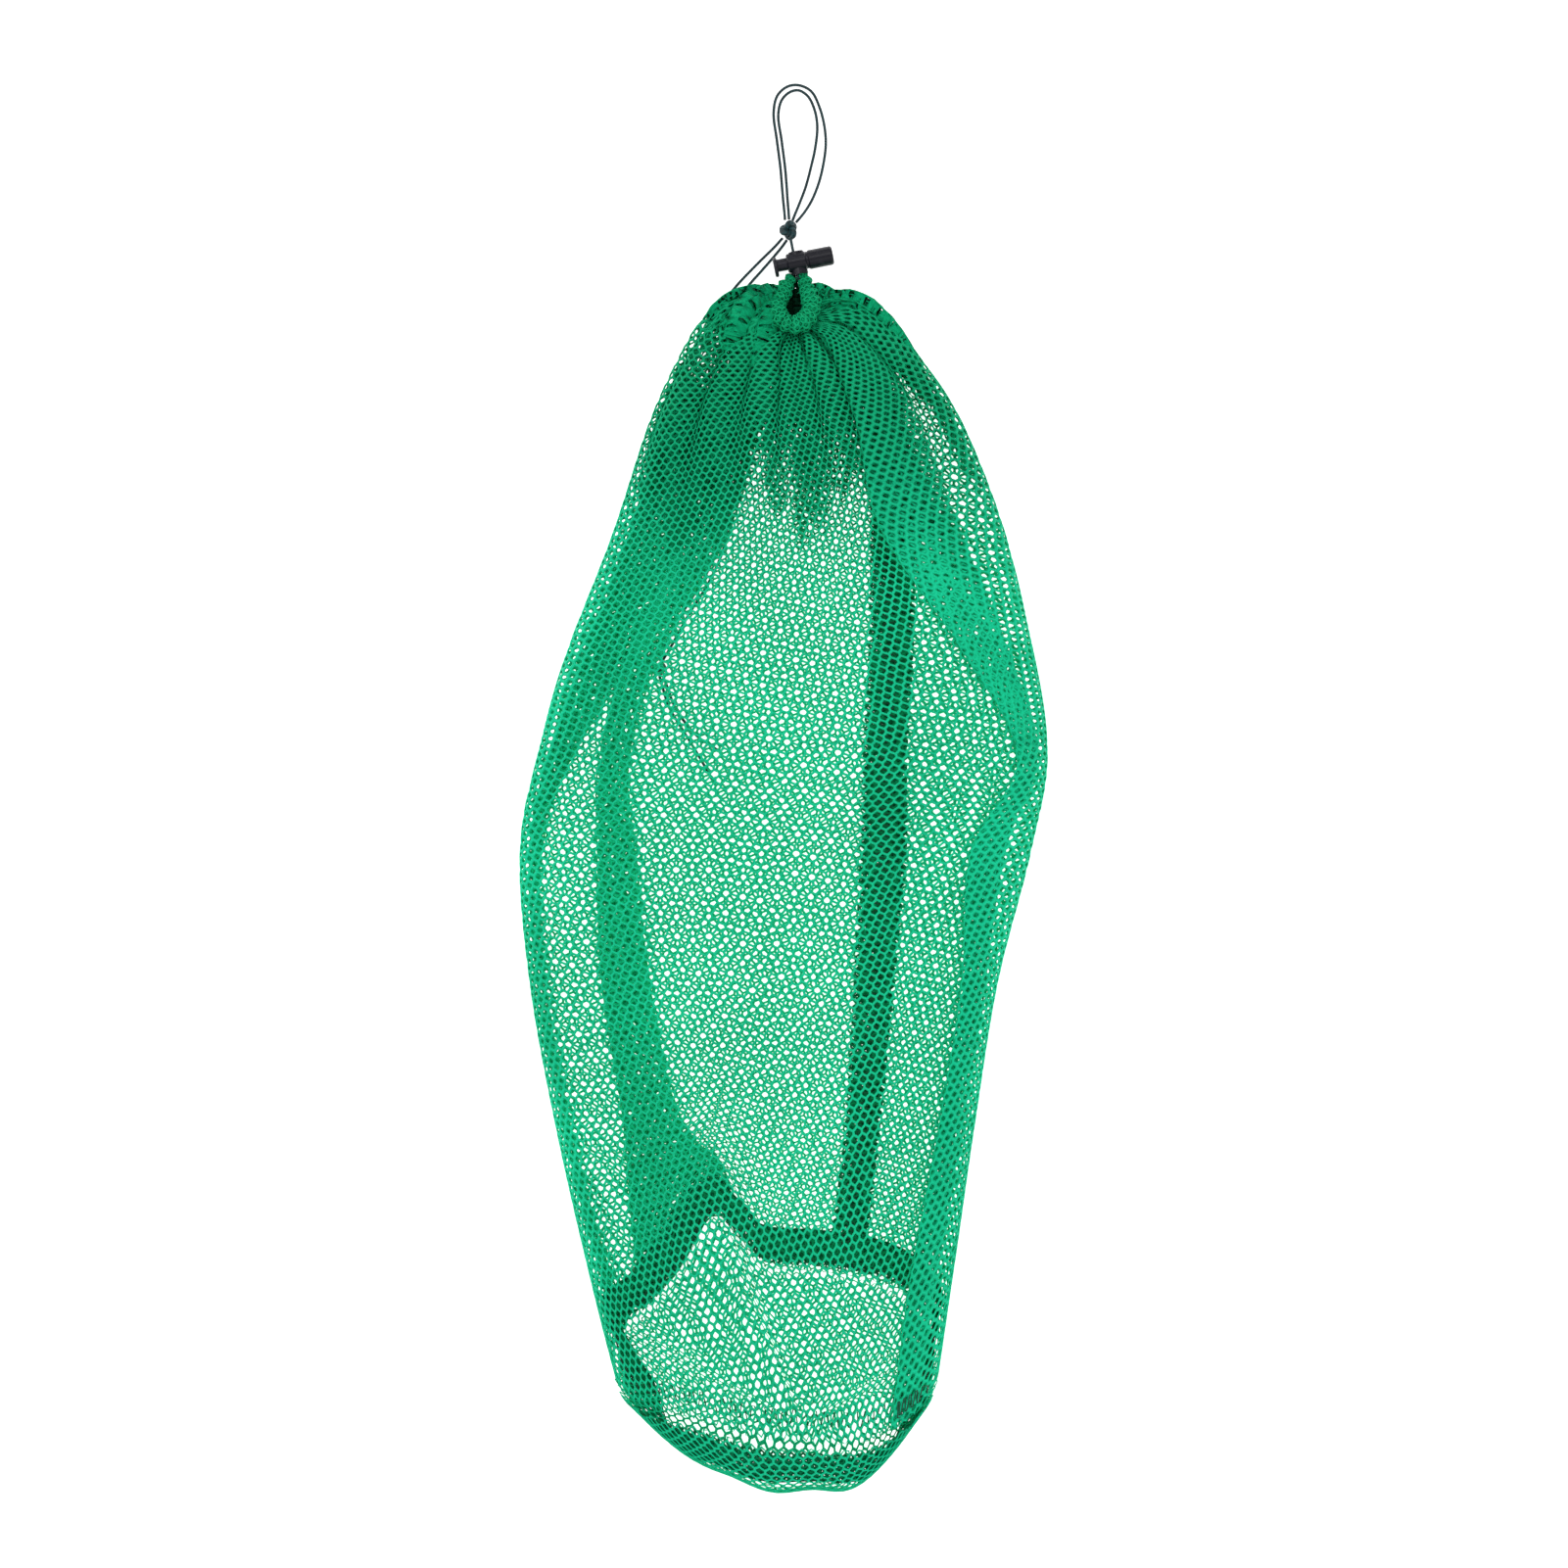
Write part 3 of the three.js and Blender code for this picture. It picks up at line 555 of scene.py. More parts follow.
bagPleats = {
    # places round the mouth, in millimetres of netting from the side seam, and each one's depth
    "places": [20, 52, 84, 104, 122, 141, 160, 172, 184, 203, 226, 250, 272, 303, 334, 365, 397,
               428, 459],
    "depths": [0.6, 0.7, 0.9, 0.8, 1.0, 0.7, 1.0, 0.6,
               1.15, 0.7, 1.0, 0.8, 0.9, 0.7, 0.6, 0.7, 0.6, 0.7, 0.6],
    "width": 5.0,
    "pinch": 6.4,
    "deepest": 9.5,
}
netting = {
    "cellsAround": 144,
    "cellRows": 170,
    "cellWide": 3.34,      # of one cell round the bag and along it, in millimetres
    "cellHigh": 2.8,
    "lean": 0.92,          # how much a slanting strand narrows its hole along the bag
    "filled": 0.6,         # share of the netting that is strands
    "strand": 0.95,        # width of a strand, in millimetres
    "thick": 0.42,
    "joint": 0.76,         # how pointed the holes are, 0.67 for even sides
    "drawnIn": 0.65,       # how much wider strands get where the netting is drawn together
    "askew": 13,           # degrees that the netting was cut off its rows
}
netRound = sum(slack["lengths"])
gridAround = 1443
gridRows = 760


def rowValue(values, along):
    values = np.asarray(values, float)
    last = len(values) - 1
    place = np.clip(along, 0, 1) * last
    row = np.minimum(place.astype(int), last - 1)
    share = place - row
    before = values[np.maximum(row - 1, 0)]
    after = values[np.minimum(row + 2, last)]
    slopeIn = (values[row + 1] - before) / 2
    slopeOut = (after - values[row]) / 2
    square, cube = share ** 2, share ** 3
    return ((2 * cube - 3 * square + 1) * values[row] + (cube - 2 * square + share) * slopeIn
            + (3 * square - 2 * cube) * values[row + 1] + (cube - square) * slopeOut)


def wallRow(angle, row):
    # points of the wall's outside at one place along the bag, before the folds
    c, s = np.cos(angle), np.sin(angle)
    fullness = slack["fullness"] * min(1, row["along"] * 8)
    x = (row["left"] + row["right"]) / 2 + (row["right"] - row["left"]) / 2 * c * (1 + fullness * s * s)
    y = (row["flank"] + (row["front"] - row["back"]) / 2 * s
         + ((row["front"] + row["back"]) / 2 - row["flank"]) * s * s)
    # the lower layer is dragged up in one place by the bottom seam
    drag = np.exp(-((x + 29) / 12) ** 2) - 0.35 * np.exp(-((x + 62) / 9) ** 2)
    y = y + 26 * drag * np.clip(-s, 0, 1) * smoothstep(row["along"], 0.78, 1.0)
    # and the front of that seam hangs lowest on the right
    sag = 7 * np.exp(-((x + 44) / 26) ** 2) - 4.5 * np.exp(-((x - 36) / 20) ** 2)
    y = y + sag * np.clip(s, 0, 1) * smoothstep(row["along"], 0.82, 1.0)
    z = (row["top"] + row["bottom"]) / 2 + (row["top"] - row["bottom"]) / 2 * s * (1 + fullness * c * c)
    room = slack["cordRoom"] * (1 - smoothstep(x, -15, 0)) * smoothstep(y, 8, 28)
    return x, y, np.maximum(0, z) + room * (1 - s) / 2


def angleOf(x, row, lower):
    # the angle at which the upper or lower layer has that x
    turn = np.linspace(0, math.pi, 181)
    xs = wallRow(turn, row)[0]
    found = float(np.interp(x, xs[::-1], turn[::-1]))
    return 2 * math.pi - found if lower else found


def eased(x, y):
    # the netting opens again over the left shoulder and down the upper right edge
    return (np.exp(-((x + 34) / 11) ** 2 - ((y - 214) / 15) ** 2)
            + np.exp(-((x - 55 - 0.42 * (190 - y)) / 10) ** 2 - ((y - 172) / 34) ** 2))


def softened(values, jump, width):
    # a moving average round the bag; jump is what the values gain in one full turn
    reach = int(width)
    padded = np.concatenate([values[-reach - 1:-1] - jump, values, values[1:reach + 1] + jump])
    kernel = np.hanning(2 * reach + 3)[1:-1]
    return np.convolve(padded, kernel / kernel.sum(), "valid")


def bagGrid():
    around = np.linspace(0, netRound, gridAround)
    marks = np.concatenate([[0], np.cumsum(slack["lengths"])])
    rowsFine = np.linspace(0, 1, gridRows)
    names = list(foldLines)
    lines = {key: rowValue(foldLines[key], rowsFine) for key in names}
    shape = {key: rowValue(bagOutline[key], rowsFine) for key in bagOutline}
    grid = np.zeros((gridRows, gridAround, 3))
    tight = np.zeros((gridRows, gridAround))
    stepRound = netRound / (gridAround - 1)
    softWidth = slack["rounding"] * 2 / stepRound
    for i, along in enumerate(rowsFine):
        row = {key: shape[key][i] for key in shape}
        row["along"] = along
        angles = [angleOf(lines["seam"][i], row, True) - 2 * math.pi]
        angles.append(angleOf(lines["rightIn"][i], row, False))
        angles.append(angleOf(lines["rightOut"][i], row, False))
        angles += [angleOf(lines[key][i], row, True) for key in ("edgeIn", "edgeOut", "bandIn", "bandOut")]
        angles.append(angles[0] + 2 * math.pi)
        turn = np.linspace(-math.pi, 3 * math.pi, 1441)
        x, y, z = wallRow(turn, row)
        run = np.concatenate([[0], np.cumsum(np.hypot(np.diff(x), np.diff(z)) + 1e-4)])
        places = np.interp(angles, turn, run)
        loop = places[-1] - places[0]
        place = np.interp(around, marks, places)
        # layers of each fold lie one under the other, and the last one comes back out
        depth = np.zeros(gridAround)
        for first, second, border in ((1, 2, 1), (3, 4, 3), (5, 6, 5)):
            width = abs(places[second] - places[first])
            spread = smoothstep(width, 0.5, 4)
            inside = (around > marks[first]) & (around <= marks[second])
            after = around > marks[second]
            depth[inside] = slack["apart"] * spread
            past = (place - places[border]) if after.any() else place
            gone = 1 - smoothstep(past, 0.5, 9)
            limit = after & (around < marks[second] + width + 30)
            depth[limit] = np.maximum(depth[limit], (2 * slack["apart"] * spread * gone)[limit])
            edges = sorted((places[first], places[second]))
            near = smoothstep(place, edges[0] - 1.5, edges[0] + 1)
            near = near * (1 - smoothstep(place, edges[1] - 1, edges[1] + 1.5))
            tight[i] = np.maximum(tight[i], near * spread * (np.abs(around - marks[first]) < width + 50))
        # pleats of the gathered mouth
        fade = smoothstep(along, 0.0, 0.07) * (1 - smoothstep(along, 0.2, 0.43))
        for where, size in zip(bagPleats["places"], bagPleats["depths"]):
            off = around - where
            off = (off + netRound / 2) % netRound - netRound / 2
            bell = np.exp(-(off / bagPleats["width"]) ** 2)
            depth += bagPleats["deepest"] * size * bell * fade
            wide = np.exp(-(off / (bagPleats["width"] * 1.5)) ** 2)
            place -= off / bagPleats["width"] * wide * bagPleats["pinch"] * size * fade * min(1, loop / 260)
        squeezed = 1 - smoothstep(along, 0.17, 0.40)
        tight[i] = np.maximum(tight[i], np.maximum(squeezed, 0.35 * (around < marks[1])))
        place = softened(place, loop, softWidth)
        depth = softened(depth, 0, softWidth)
        angle = np.interp(place, run, turn)
        px, py, pz = wallRow(angle, row)
        edge = np.maximum(1 - smoothstep(px - row["left"], 5, 11), 1 - smoothstep(row["right"] - px, 3, 9))
        tight[i] = np.maximum(tight[i], edge * smoothstep(along, 0.3, 0.45))
        tight[i] *= 1 - np.minimum(1, 1.4 * eased(px, py))
        tx = np.interp(place, run, np.gradient(x, run))
        tz = np.interp(place, run, np.gradient(z, run))
        size = np.maximum(np.hypot(tx, tz), 1e-6)
        room = (row["top"] - row["bottom"]) * 0.42
        depth = np.minimum(depth, room)
        grid[i] = np.stack([px - depth * tz / size, py, np.maximum(pz + depth * tx / size, 0.02)], 1)
    # even rows of netting: the share of the bag's length, measured along the netting
    steps = np.linalg.norm(np.diff(grid, axis=0), axis=2).mean(1)
    gone = np.concatenate([[0], np.cumsum(steps)])
    print("netting is", round(gone[-1]), "mm long and", netRound, "mm round")
    wanted = np.linspace(0, gone[-1], gridRows)
    at = np.interp(wanted, gone, np.arange(gridRows))
    low = np.minimum(at.astype(int), gridRows - 2)
    share = (at - low)[:, None, None]
    even = grid[low] * (1 - share) + grid[low + 1] * share
    tight = tight[low] * (1 - share[..., 0]) + tight[low + 1] * share[..., 0]
    return even, tight, angle, gone[-1]


# slack netting isn't smooth: long soft waves down the bag, and small ones across
def addWaves(grid):
    rows, columns = grid.shape[:2]
    turn = np.arange(columns) / (columns - 1) * 2 * math.pi
    down = np.arange(rows)[:, None] / rows
    wave = np.zeros((rows, columns))
    random = np.random.default_rng(5)
    for count in (3, 5, 7, 9, 13, 17, 23):
        start, lean, beat = random.uniform(0, 6.28), random.uniform(-5, 5), random.uniform(2, 9)
        ripple = np.sin(count * turn[None, :] + lean * down + start) * np.sin(beat * down + start)
        wave += ripple * 2.2 / count ** 0.5
    fade = smoothstep(down, 0.1, 0.35) * (1 - smoothstep(down, 0.9, 1.0))
    upper = smoothstep(grid[..., 2], 6, 16)
    grid[..., 2] -= np.clip(wave * 0.9 + 0.8, 0, 6) * fade * upper
    side = np.roll(wave, columns // 7, 1)
    side[:, -1] = side[:, 0]
    grid[..., 0] += side * 0.45 * fade * smoothstep(down, 0.1, 0.3)
    return grid


bagSurface, bagTight, rimAngle, bagLong = bagGrid()
bagSurface = addWaves(bagSurface)
bagSurface[:, -1] = bagSurface[:, 0]


def surfaceNormals(grid, closed):
    if closed:
        across = np.roll(grid, -1, 1) - np.roll(grid, 1, 1)
        across[:, 0] = grid[:, 1] - grid[:, -2]
        across[:, -1] = across[:, 0]
    else:
        across = np.gradient(grid, axis=1)
    along = np.gradient(grid, axis=0)
    made = np.cross(across, along)
    made /= np.maximum(np.linalg.norm(made, axis=2), 1e-9)[..., None]
    return made, np.linalg.norm(across, axis=2) / 2


bagNormals, bagPitch = surfaceNormals(bagSurface, True)


def sampler(grid, normals, pitch, closed, perColumn, tight=None):
    # reads a surface at shares of its width and length: place, outward direction, local pitch
    # and how tightly its netting is drawn together
    rows, columns = grid.shape[:2]
    tight = np.zeros((rows, columns)) if tight is None else tight

    def read(u, v):
        a = (u % 1.0 if closed else np.clip(u, 0, 1)) * (columns - 1)
        b = np.clip(v, 0, 1) * (rows - 1)
        i = np.minimum(a.astype(int), columns - 2)
        j = np.minimum(b.astype(int), rows - 2)
        s, t = (a - i)[..., None], (b - j)[..., None]
        made = []
        for field in (grid, normals, pitch[..., None], tight[..., None]):
            made.append(field[j, i] * (1 - s) * (1 - t) + field[j, i + 1] * s * (1 - t)
                        + field[j + 1, i] * (1 - s) * t + field[j + 1, i + 1] * s * t)
        return made[0], made[1], made[2][..., 0] * perColumn, made[3][..., 0]

    return read


cells, cellRows = netting["cellsAround"], netting["cellRows"]
bagRead = sampler(bagSurface, bagNormals, bagPitch, True, (gridAround - 1) / cells, bagTight)


def askew(u, v):
    # the netting was cut a little off its rows, so they climb round the bag from the side seam
    c, s = math.cos(math.radians(netting["askew"])), math.sin(math.radians(netting["askew"]))
    x, y = (u - 0.5) * netRound, (v - 0.5) * bagLong
    return 0.5 + (x * c - y * s) / netRound, 0.5 + (x * s + y * c) / bagLong


def askewRead(u, v):
    return bagRead(*askew(u, v))


def netCells(name, read, cols, rows, firstRow, lastRow, closed=True, strand=None, thick=None,
             sink=0.0, keep=None, columns=None, shift=(0.0, 0.0)):
    # netting as real strands: each cell is a ring of faces round its hole, above and below
    strand = strand or netting["strand"]
    thick = thick or netting["thick"]
    high = netting["joint"]
    firstCol, lastCol = columns or (0, cols)
    wrap = closed and not columns
    beyond = 0 if wrap else 1
    js = np.arange(firstRow - 1, lastRow + 1)
    ks = np.arange(firstCol - beyond, lastCol + beyond)
    jj, kk = np.meshgrid(js, ks, indexing="ij")
    centreU = kk + 0.5 * (jj % 2)

    def place(u, v):
        return read((u + shift[0]) / cols, (v + shift[1]) / rows)

    def corner(offset):
        return place(centreU, jj + offset)

    tops, bottoms = corner(high), corner(-high)
    count = jj.size
    nCols = len(ks)
    points = []
    for point, normal, pitch, _ in (tops, bottoms):
        rise = np.minimum(thick, pitch * 0.42)[..., None]
        inner = point - normal * sink
        inner[..., 2] = np.maximum(inner[..., 2], thick)  # it lies on the floor
        points += [(inner + normal * rise).reshape(-1, 3), (inner - normal * rise).reshape(-1, 3)]
    index = np.arange(count).reshape(jj.shape)

    def junction(rowShift, colShift, kind):
        # the neighbour's corner; odd rows stand half a cell to the right
        r = np.arange(1, len(js) - 1)[:, None] + rowShift
        c = np.arange(nCols)[None, :] + colShift
        if wrap:
            c = c % nCols
        else:
            c = np.clip(c, 0, nCols - 1)
        return kind * 2 * count + index[r, c]

    odd = (js[1:-1] % 2)[:, None] * np.ones((1, nCols), int)

    def pick(rowShift, leftSide, kind):
        even = junction(rowShift, -1 if leftSide else 0, kind)
        shifted = junction(rowShift, 0 if leftSide else 1, kind)
        return np.where(odd == 1, shifted, even)

    corners = np.stack([
        junction(0, 0, 0) + np.zeros_like(odd), pick(1, True, 1), pick(-1, True, 0),
        junction(0, 0, 1) + np.zeros_like(odd), pick(-1, False, 0), pick(1, False, 1),
    ], -1)
    used = (jj >= firstRow) & (jj < lastRow)
    used = used[1:-1]
    if not wrap:
        used = used.copy()
        used[:, 0] = False
        used[:, -1] = False
    if keep is not None:
        used = used & keep((centreU[1:-1] + shift[0]) / cols, (jj[1:-1] + shift[1]) / rows)
    cornerIds = corners[used]
    uMid, vMid = centreU[1:-1][used], jj[1:-1][used]
    # the hole's corners: nearer the middle by half a strand
    low = 1 - high
    offsets = np.array([(0, high), (-0.5, low), (-0.5, -low), (0, -high), (0.5, -low), (0.5, low)])
    drawn = strand * (1 + netting["drawnIn"] * place(uMid, vMid)[3])
    side = 1 - drawn / netting["cellWide"]
    rise = 1 - drawn / netting["cellHigh"] * netting["lean"]
    holes = []
    for du, dv in offsets:
        point, normal, _, _ = place(uMid + du * side, vMid + dv * rise)
        holes.append(point - normal * sink)
    holes = np.stack(holes, 1).reshape(-1, 3)
    holes[:, 2] = np.maximum(holes[:, 2], thick / 2)
    holeIds = 4 * count + np.arange(len(cornerIds) * 6).reshape(-1, 6)
    allPoints = np.vstack(points + [holes])
    nextCorner = np.roll(cornerIds, -1, 1)
    nextHole = np.roll(holeIds, -1, 1)
    upper = np.stack([cornerIds, nextCorner, nextHole, holeIds], -1).reshape(-1, 4)
    lower = np.stack([nextCorner + count, cornerIds + count, holeIds, nextHole], -1).reshape(-1, 4)
    # strands cut through at the piece's ends get their end faces
    a, b = cornerIds.ravel(), nextCorner.ravel()
    keys = np.minimum(a, b).astype(np.int64) * (4 * count) + np.maximum(a, b)
    _, inverse, times = np.unique(keys, return_inverse=True, return_counts=True)
    single = times[inverse] == 1
    wall = np.stack([b[single], a[single], a[single] + count, b[single] + count], -1)
    quads = np.vstack([upper, lower, wall])
    # does the first face look outwards
    p = allPoints[upper[:: max(1, len(upper) // 400)]]
    faceNormal = np.cross(p[:, 1] - p[:, 0], p[:, 3] - p[:, 0])
    outward = p[:, :2].mean(1) - allPoints[(upper[:: max(1, len(upper) // 400), :2] + count)].mean(1)
    flipped = (faceNormal * outward).sum() < 0
    if flipped:
        quads = quads[:, ::-1]
    one = np.array([(0, 0), (1, 0), (1, 1), (0, 1)], float)
    two = np.array([(1, 0), (0, 0), (0, 1), (1, 1)], float)
    if flipped:
        one, two = one[::-1], two[::-1]
    maps = np.vstack([np.tile(one, (len(upper), 1)), np.tile(two, (len(lower), 1)),
                      np.tile(np.zeros((4, 2)), (len(wall), 1))])
    usedIds, compact = np.unique(quads, return_inverse=True)
    piece = newMesh(name, allPoints[usedIds] * mm, compact.reshape(-1, 4), "strand", maps)
    print("netting", name, len(quads) * 2, "triangles")
    return piece


def declareNet(sewnOn=()):
    # takes what is sewn to a length of netting, and does nothing with it; only the
    # strands count as cloth, not the holes
    list(sewnOn)


def makeWallNet():
    made = []
    cuts = (0, 34, 76, 122, cellRows)
    names = ("netNeck", "netShoulder", "netMiddle", "netFoot")
    for name, first, last in zip(names, cuts[:-1], cuts[1:]):
        start, end = first / cellRows, last / cellRows

        def within(u, v):
            around, along = askew(u, v)
            return (around >= 0) & (around < 1) & (along >= start) & (along < end)

        piece = netCells(name, askewRead, cells, cellRows, first - 24, last + 24, closed=False,
                         columns=(-22, cells + 22), keep=within)
        node = "net_neck" if name == "netNeck" else "net_wall"
        finishPiece(piece, "bag", [node], netYarn)
        made.append((piece, round(bagLong * mm * (last - first) / cellRows, 4)))
    return made


wallNet = makeWallNet()


mouthMiddle = 4.6            # of the drawn mouth across the bag, in millimetres


# the netting that the drawn mouth stows inside the neck, in two more layers
def makePleatNet():
    parts = []
    for layer, (sink, shift, last) in enumerate(((2.4, 0.5, 44), (4.2, 0.25, 36))):

        def stowed(u, v):
            # in the pleats only, and not in the layers of a fold or across the mouth
            place = u % 1 * netRound
            marks = np.cumsum(slack["lengths"])
            clear = np.ones(np.shape(u), bool)
            for start, end in ((marks[0], marks[1]), (marks[2], marks[3]), (marks[4], marks[5])):
                clear &= (place < start - 5) | (place > end + 5)
            x, y, _ = np.moveaxis(bagRead(u, v)[0], -1, 0)
            clear &= ((np.abs(x - mouthMiddle) > 7) | (y < 228)) & (eased(x, y) < 0.35)
            wave = np.sin(u * 2 * math.pi * 9 + layer) * 0.5 + np.sin(u * 2 * math.pi * 23 + 2) * 0.5
            return clear & (v * cellRows < last - 10 + 10 * wave)

        part = netCells("pleats%d" % layer, bagRead, cells, cellRows, 2, last, sink=sink,
                        shift=(shift, shift), keep=stowed, strand=1.3)
        parts.append(part)
    return finishPiece(joined(parts, "neckPleats"), "bag", [], pleatShadeYarn)


neckPleats = makePleatNet()


# netting tucked down into the drawn mouth, coloured a near-black green that is painted shade
def makeThroat():
    def tucked(u, v):
        point = bagRead(u, v)[0]
        return (np.abs(point[..., 0] - mouthMiddle) < 7.5) & (point[..., 1] > 226)

    piece = netCells("throatFolds", bagRead, cells, cellRows, 1, 16, sink=3.4, shift=(0.5, 0.5),
                     keep=tucked, strand=2.4)
    # and a tongue of it between the hem's two ends, under the lock
    across, along = np.meshgrid(np.linspace(-1, 1, 13), np.linspace(0, 1, 25))
    wide = 3.6 - 1.2 * along
    rise = 2.6 + 0.5 * np.cos(across * 5) - 0.6 * across ** 2
    grid = np.stack([4.4 + 0.9 * along + across * wide, 235.5 + 14.0 * along, rise], -1)
    normals, pitch = surfaceNormals(grid, False)
    read = sampler(grid, normals, pitch, False, 4)
    tongue = netCells("throatTongue", read, 3, 6, 0, 6, closed=False, strand=2.6)
    return finishPiece(joined([piece, tongue], "throatFolds"), "bag", [], throatShadeYarn)


throatFolds = makeThroat()


# bottom panel: a disc of netting that hangs out past its seam
panelSet = {
    "middle": (11.25, -31),
    "bulge": 24,
    "across": 137,           # cut size of the disc, in millimetres
    "gap": 2.4,
    "filled": 0.43,          # share of the square cut that is strands of the disc
}


def panelPlace(px, py):
    # where a place of the flat disc of radius 1 lies
    reach = np.minimum(np.hypot(px, py), 1)
    angle = np.arctan2(py, px)
    row = {key: bagOutline[key][-1] for key in bagOutline}
    row["along"] = 1.0
    x, y, z = wallRow(angle, row)
    y = y - 0.3 - panelSet["gap"] * np.minimum(1, 2 + 2 * np.sin(angle))
    middle = np.array([(row["left"] + row["right"]) / 2 + panelSet["middle"][0],
                       row["flank"] + panelSet["middle"][1]])
    swell = panelSet["bulge"] * 4 * reach * (1 - reach) * (0.3 + 0.7 * np.maximum(0, np.sin(angle)))
    upper = np.maximum(0, np.sin(angle) + 0.35)
    out = np.stack([
        middle[0] + (x - middle[0]) * reach + 0.15 * swell * np.cos(angle),
        middle[1] + (y - middle[1]) * reach - swell * np.minimum(1, upper),
        z * reach,
    ], -1)
    # creases that run from the middle to the seam
    crease = np.sin(5 * angle + 0.7) * 0.9 + np.sin(9 * angle + 2.1) * 0.6
    out[..., 1] += crease * np.sin(math.pi * reach) * 1.4
    out[..., 2] = np.maximum(out[..., 2] + crease * reach * (1 - reach) * 2, 0.3)
    return out


def makePanel():
    # a square grid, so that the disc's netting runs straight as it was cut
    count = 260
    grid = panelPlace(*np.meshgrid(np.linspace(-1, 1, count), np.linspace(-1, 1, count)))
    normals, pitch = surfaceNormals(grid, False)
    cols = 41
    rows = 49
    read = sampler(grid, normals, pitch, False, (grid.shape[1] - 1) / cols)

    def inDisc(u, v):
        return np.hypot(u * 2 - 1, v * 2 - 1) < 0.985

    piece = netCells("bottomPanel", read, cols, rows, 0, rows, closed=False, keep=inDisc)
    finishPiece(piece, "bag", ["bottom_panel"], netYarn)
    return piece


bottomPanel = makePanel()


# seams: the netting's edges folded double and sewn, so nearly closed
seamSet = {
    "wide": 14.5,
    "ring": 17.5,
    "layers": ((1.7, 0.0), (2.8, 0.5)),  # each one's depth in the bag, and its shift in cells
    "strand": 1.75,
    "thick": 0.5,
}


def ringGrid(sink, rows=40):
    # under the bag the doubled edge lies on the wall, and over the front it is turned out
    # onto the bottom panel
    us = np.linspace(0, 1, gridAround)
    grid = np.zeros((rows, gridAround, 3))
    rim, above = bagRead(us, np.ones(gridAround))[0], bagRead(us, np.full(gridAround, 0.96))[0]
    deep = seamSet["ring"] * 0.04 / np.maximum(np.linalg.norm(rim - above, axis=1), 6)
    for i, share in enumerate(np.linspace(0, 1, rows)):
        wall, outward, _, _ = bagRead(us, 1 - (1 - share) * deep)
        wall = wall - outward * sink
        reach = 1 - (1 - share) * seamSet["ring"] / 68
        panel = panelPlace(reach * np.cos(rimAngle), reach * np.sin(rimAngle))
        panel = panel + np.array([0, 0.4, -0.7]) * sink
        front = smoothstep(np.sin(rimAngle), -0.2, 0.2)[:, None]
        grid[i] = wall * (1 - front) + panel * front
    grid[..., 2] = np.maximum(grid[..., 2], 0.5)
    return grid


def makeSeams():
    half = seamSet["wide"] / 2 / netting["cellWide"]
    perRow = bagLong / cellRows
    ringRows = int(round(seamSet["ring"] / perRow))

    def strip(u, v):
        return np.abs((u * cells + cells / 2) % cells - cells / 2) < half

    first = int(cellRows * 0.12)
    side = []
    for layer, (sink, shift) in enumerate(seamSet["layers"]):
        part = netCells("sideSeam%d" % layer, bagRead, cells, cellRows, first, cellRows - ringRows // 2,
                        strand=seamSet["strand"], thick=seamSet["thick"], sink=sink, keep=strip,
                        shift=(shift, shift))
        side.append(part)
    ring = []
    for layer, (sink, shift) in enumerate(seamSet["layers"]):
        grid = ringGrid(sink)
        normals, pitch = surfaceNormals(grid, True)
        read = sampler(grid, normals, pitch, True, (gridAround - 1) / cells)
        part = netCells("ringSeam%d" % layer, read, cells, ringRows + 1, 0, ringRows,
                        strand=seamSet["strand"], thick=seamSet["thick"], shift=(shift, shift * 0.5))
        ring.append(part)
    made = []
    for parts, name, node in ((side, "sideSeam", "side_seam_band"),
                              (ring, "bottomSeam", "bottom_seam_band")):
        made.append(finishPiece(joined(parts, name), "bag", [node], seamShadeYarn))
        print("seam", name)
    return made


sideSeam, bottomSeam = makeSeams()


# sewing thread: a zigzag of overlock stitches along each seam
threadSet = {"radius": 0.28 * mm, "stitch": 2.4, "swing": 2.2, "sink": 3.9, "side": 390, "ring": 430}


def zigzag(us, vs, swingU, swingV):
    swing = np.array([1, 1, -1, -1] * (len(us) // 4 + 1))[:len(us)]
    lift = np.array([0.0, 0.25, 0.0, 0.25] * (len(us) // 4 + 1))[:len(us)]
    point, normal, _, _ = bagRead(us + swing * swingU, vs + swing * swingV)
    point = point - normal * (threadSet["sink"] + lift[:, None])
    point[:, 2] = np.maximum(point[:, 2], 1.2)
    return point * mm


def makeThreads():
    made = []
    count = int(threadSet["side"] / threadSet["stitch"]) * 2
    vs = np.linspace(0.13, 1 - 15.5 / bagLong, count)
    line = zigzag(np.zeros(count), vs, threadSet["swing"] / netRound, 0)
    side = tube("sideThread", centripetal(line, 0.9 * mm), threadSet["radius"], 6)
    finishPiece(side, "bag", ["side_seam_thread"], threadYarn)
    count = int(threadSet["ring"] / threadSet["stitch"]) * 2
    us = np.linspace(0, 1, count, endpoint=False)
    line = zigzag(us, np.full(count, 1 - 6.5 / bagLong), 0, threadSet["swing"] / bagLong)
    ring = tube("ringThread", line, threadSet["radius"], 6, closed=True)
    finishPiece(ring, "bag", ["bottom_seam_thread"], threadYarn)
    print("threads")
    return side, ring


sideThread, ringThread = makeThreads()


# mouth hem: a ruffled casing round the drawcord
hemSet = {
    "radius": 3.5,
    "ruffles": 17,
    "ruffle": 0.7,
    "cellsRound": 9,
    "cellsAlong": 44,
}


